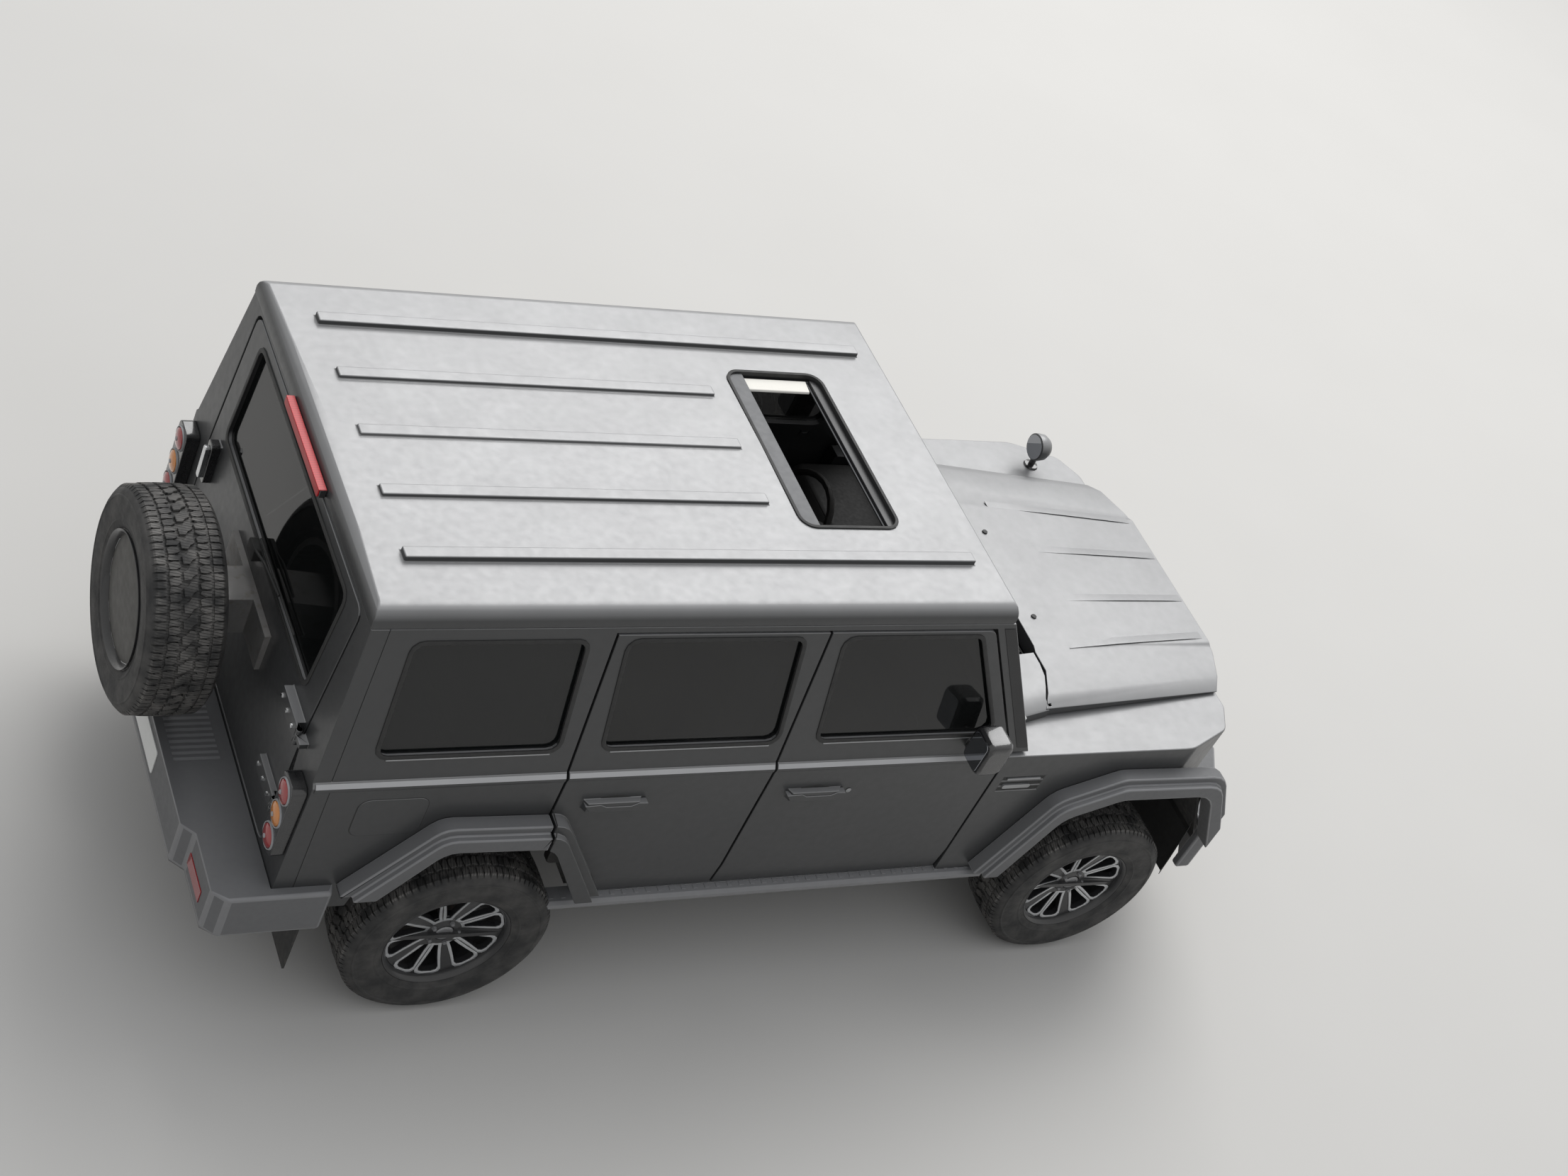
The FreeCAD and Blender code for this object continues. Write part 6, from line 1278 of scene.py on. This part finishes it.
# Sun visors, inner mirror and belts. Padded visors folded up against the screen's head, a small
# mirror on its stalk, and woven belts down the middle pillars.
for side, sign in sides:
    visor = Shape()
    rings = []
    for across in (0.12, 0.13, 0.56, 0.572):
        inset = 0.004 if 0.125 < across < 0.565 else 0.0
        section = ((1.722 - inset, -0.046), (1.722 - inset, -0.058), (1.85 + inset, -0.062),
                   (1.85 + inset, -0.046))
        rings.append([on_screen(sign * across, height, proud) for height, proud in section])
    visor.loft(rings)
    visor.piece("visor_" + side, "body", [lining_cloth], edge=0.003)
mirror = Shape()
mirror.loft([[on_screen(y, z, proud) for y, z in round_box(-0.125, 0.125, 1.715, 1.778, 0.028)]
             for proud in (-0.075, -0.098)])
mirror.tube([on_screen(0, 1.77, -0.08), on_screen(0, 1.8, -0.016)], 0.008)
mirror.piece("inner_mirror", "body", [gloss_black], edge=0.003)
webbing = Finish("webbing")
webbing_bands = {"wave_type": "BANDS", "bands_direction": "Z"}
webbing_weave = webbing.node("TexWave", webbing_bands, {"Vector": webbing.place(), "Scale": 180.0}, "Fac")
webbing.set(base_color=webbing.between(webbing_weave, (0.014, 0.014, 0.014), (0.03, 0.03, 0.029)),
            roughness=0.8)
webbing.bump(webbing_weave, 0.0008, 0.5)
for side, sign in sides:
    for place, x in (("front", -0.3), ("rear", -1.12)):
        belt_line = ((0.775, 1.6), (0.772, 1.5), (0.78, 1.2), (0.785, 0.95), (0.78, 0.72))
        belt = Shape()
        belt.loft([[(x - 0.023, sign * y, z), (x + 0.023, sign * y, z), (x + 0.023, sign * (y - 0.0016), z),
                    (x - 0.023, sign * (y - 0.0016), z)] for y, z in belt_line])
        belt.slot = 1
        belt.box((x - 0.032, sign * 0.776 - 0.01, 1.59), (x + 0.032, sign * 0.776 + 0.01, 1.64))
        belt.piece("belt_" + place + "_" + side, "body", [webbing, trim_black], edge=0.001)

# Door cards. Grained panels with an armrest, a pull, a bright release lever, a pocket and a round
# loudspeaker, one to each door.
for side, sign in sides:
    for place, rear, front in (("front", -0.15, 0.62), ("rear", -0.96, -0.33)):
        door = "door_" + place + "_" + side
        middle = (rear + front) / 2
        wall = struck(door, (middle, 0.0, 1.0), (0, sign, 0)).y
        card = Shape()
        behind = wall + sign * 0.004
        card.prism(round_box(rear + 0.05, front - 0.1, 0.985, 1.04, 0.018), behind, wall - sign * 0.052,
                   "y")
        card.prism(round_box(rear + 0.03, front - 0.06, 0.7, 0.8, 0.02), behind, wall - sign * 0.03,
                   "y")
        card.slot = 1
        card.prism(round_box(front - 0.22, front - 0.12, 1.085, 1.115, 0.012), wall + sign * 0.002,
                   wall - sign * 0.014, "y")
        card.slot = 2
        speaker = ((0.0, -0.01), (0.062, -0.008), (0.072, -0.001), (0.072, 0.004), (0.0, 0.004))
        card.lathe([(radius, wall + sign * y) for radius, y in speaker], (front - 0.13, 0, 0.885), "y", 32)
        card.piece("door_card_" + place + "_" + side, door, [leather, chrome, trim_black], edge=0.004)

# Seats. Foam pads in black leather with sewn channels: two in front, and a bench for three behind.
# The pads' shapes are blown up as cloth with air inside, then sewn.
seat_leather = grained("seat_leather", (0.03, 0.028, 0.026), (0.058, 0.054, 0.05), (6.0, 5.0),
                       (30.0, -1.0, 1.8))
seat_leather.bump(seat_leather.cells(260.0), 0.0014, 0.45)


def rounded_block(low, high, power):
    """A closed pad form: a box with soft corners, in a fine grid."""
    form = bmesh.new()
    bmesh.ops.create_cube(form, size=2.0)
    bmesh.ops.subdivide_edges(form, edges=form.edges, cuts=15, use_grid_fill=True)
    low, high = Vector(low), Vector(high)
    middle, half = (low + high) / 2, (high - low) / 2
    for corner in form.verts:
        reach = sum(abs(part) ** power for part in corner.co) ** (1 / power)
        for axis in range(3):
            corner.co[axis] = middle[axis] + half[axis] * corner.co[axis] / reach
    mesh = bpy.data.meshes.new("pad")
    form.to_mesh(mesh)
    form.free()
    return mesh


def evaluated(piece):
    """The piece's mesh as its modifiers leave it."""
    graph = bpy.context.evaluated_depsgraph_get()
    return bpy.data.meshes.new_from_object(piece.evaluated_get(graph))


def blown_up(piece, cell, most):
    """The pad's cloth with air pressed into it, each point held to a largest move."""
    remesh = piece.modifiers.new("even_cells", "REMESH")
    remesh.mode = "VOXEL"
    remesh.voxel_size = cell
    mesh = evaluated(piece)
    piece.modifiers.clear()
    piece.data = mesh
    starts = [corner.co.copy() for corner in mesh.vertices]
    cloth = piece.modifiers.new("cloth", "CLOTH")
    cloth.settings.use_pressure = True
    cloth.settings.uniform_pressure_force = 4.0
    cloth.settings.effector_weights.gravity = 0.0
    for step in range(1, 21):
        bpy.context.scene.frame_set(step)
    mesh = evaluated(piece)
    piece.modifiers.clear()
    bpy.context.scene.frame_set(1)
    for corner, start in zip(mesh.vertices, starts):
        move = corner.co - start
        if move.length > most:
            corner.co = start + move.normalized() * most
    piece.data = mesh


cloth_cell = 0.012
cloth_reach = 0.022
seam_half_width = 0.007
seam_depth = 0.011


def pad(name, low, high, face, seams, copies, blown=True):
    """A seat pad. Seams lie across its face axis at the given places, as (axis, place)."""
    mesh = rounded_block([a + 0.012 for a in low], [b - 0.012 for b in high], 7.0)
    first = stood(name, mesh)
    if blown:
        blown_up(first, cloth_cell, cloth_reach)
    centre = [(a + b) / 2 for a, b in zip(low, high)]
    depth_axis, facing = face
    for corner in first.data.vertices:
        out = (corner.co[depth_axis] - centre[depth_axis]) * facing
        if out > 0:
            dip = sum(math.exp(-((corner.co[axis] - place) / seam_half_width) ** 2) for axis, place in seams)
            corner.co[depth_axis] -= facing * seam_depth * min(1.0, dip)
        for axis in range(3):
            corner.co[axis] = min(max(corner.co[axis], low[axis] + 0.001), high[axis] - 0.001)
    for number, (move, label) in enumerate(copies):
        piece = stood(name, first.data.copy()) if number else first
        piece.name = name + label
        piece.data.transform(Matrix.Translation(move))
        wear(piece, seat_leather)
        piece.data.shade_smooth()
        piece.modifiers.new("smooth", "SUBSURF").levels = 1
        piece.modifiers["smooth"].render_levels = 1
        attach(piece, "body")
        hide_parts("seats")


here = (0.0, 0.0, 0.0)
both = [(here, "_left"), ((0.0, -0.743, 0.0), "_right")]
sides_seams = [(1, 0.225), (1, 0.518)]
pad("seat_cushion", (-0.27, 0.114, 0.76), (0.245, 0.629, 0.998), (2, 1),
    sides_seams + [(0, -0.15), (0, -0.05), (0, 0.05)], both)
pad("seat_back", (-0.505, 0.118, 0.905), (-0.3, 0.625, 1.528), (0, 1),
    sides_seams + [(2, 1.05), (2, 1.2), (2, 1.35)], both)
pad("head_restraint", (-0.507, 0.244, 1.534), (-0.408, 0.499, 1.678), (0, 1), [(2, 1.606)], both,
    blown=False)
bench_seams = [(1, -0.22), (1, 0.22)]
pad("bench_cushion", (-1.035, -0.606, 0.76), (-0.596, 0.606, 0.998), (2, 1),
    bench_seams + [(0, -0.88), (0, -0.74)], [(here, "")])
pad("bench_back", (-1.276, -0.606, 0.905), (-1.07, 0.606, 1.528), (0, 1),
    bench_seams + [(2, 1.05), (2, 1.25)], [(here, "")])
pad("bench_restraint", (-1.277, 0.25, 1.534), (-1.178, 0.506, 1.678), (0, 1), [(2, 1.606)],
    [(here, "_left"), ((0.0, -0.756, 0.0), "_right")], blown=False)
frames = Shape()
for y in (0.3715, -0.3715):
    frames.box((-0.255, y - 0.235, 0.668), (0.225, y + 0.235, 0.752))
    frames.box((-0.498, y - 0.225, 0.7), (-0.33, y + 0.225, 0.9))
    for step in (-0.06, 0.06):
        frames.tube([(-0.455, y + step, 1.5), (-0.455, y + step, 1.56)], 0.006, 12)
frames.box((-1.025, -0.59, 0.668), (-0.61, 0.59, 0.752))
frames.box((-1.268, -0.59, 0.7), (-1.095, 0.59, 0.9))
for y in (0.378, -0.378):
    for step in (-0.06, 0.06):
        frames.tube([(-1.225, y + step, 1.5), (-1.225, y + step, 1.56)], 0.006, 12)
frames.piece("seat_frames", "body", [trim_black], edge=0.006)

# Glass. Toughened panes tinted dark in the doors and the tailgate, and one finish for the fixed
# panes, which is clearer at the laminated windscreen.
pane = Finish("pane")
pane_haze = pane.noise(3.0)
pane.set(base_color=pane.between(pane_haze, (0.004, 0.0045, 0.0045), (0.009, 0.0095, 0.0095)), roughness=0.03,
         alpha=0.84 + pane_haze * 0.06)
for name in ("tailgate_glass", "glass_front_left", "glass_front_right", "glass_rear_left",
             "glass_rear_right"):
    wear(nodes[name], pane)
screen = Finish("screen")
screen_tone = screen.between(screen.noise(3.0), (0.005, 0.006, 0.006), (0.01, 0.011, 0.011))
screen_front = screen.parts(screen.place())[0] > 0.45
screen.set(base_color=screen_tone, roughness=0.03, alpha=0.87 - screen_front * 0.42)
wear(nodes["fixed_glass"], screen)

# Hidden tyres. Any packed tyre that still shows wears the tread's rubber.
for name, obj in nodes.items():
    if "tyre" in name and not obj.hide_render:
        wear(obj, rubber)
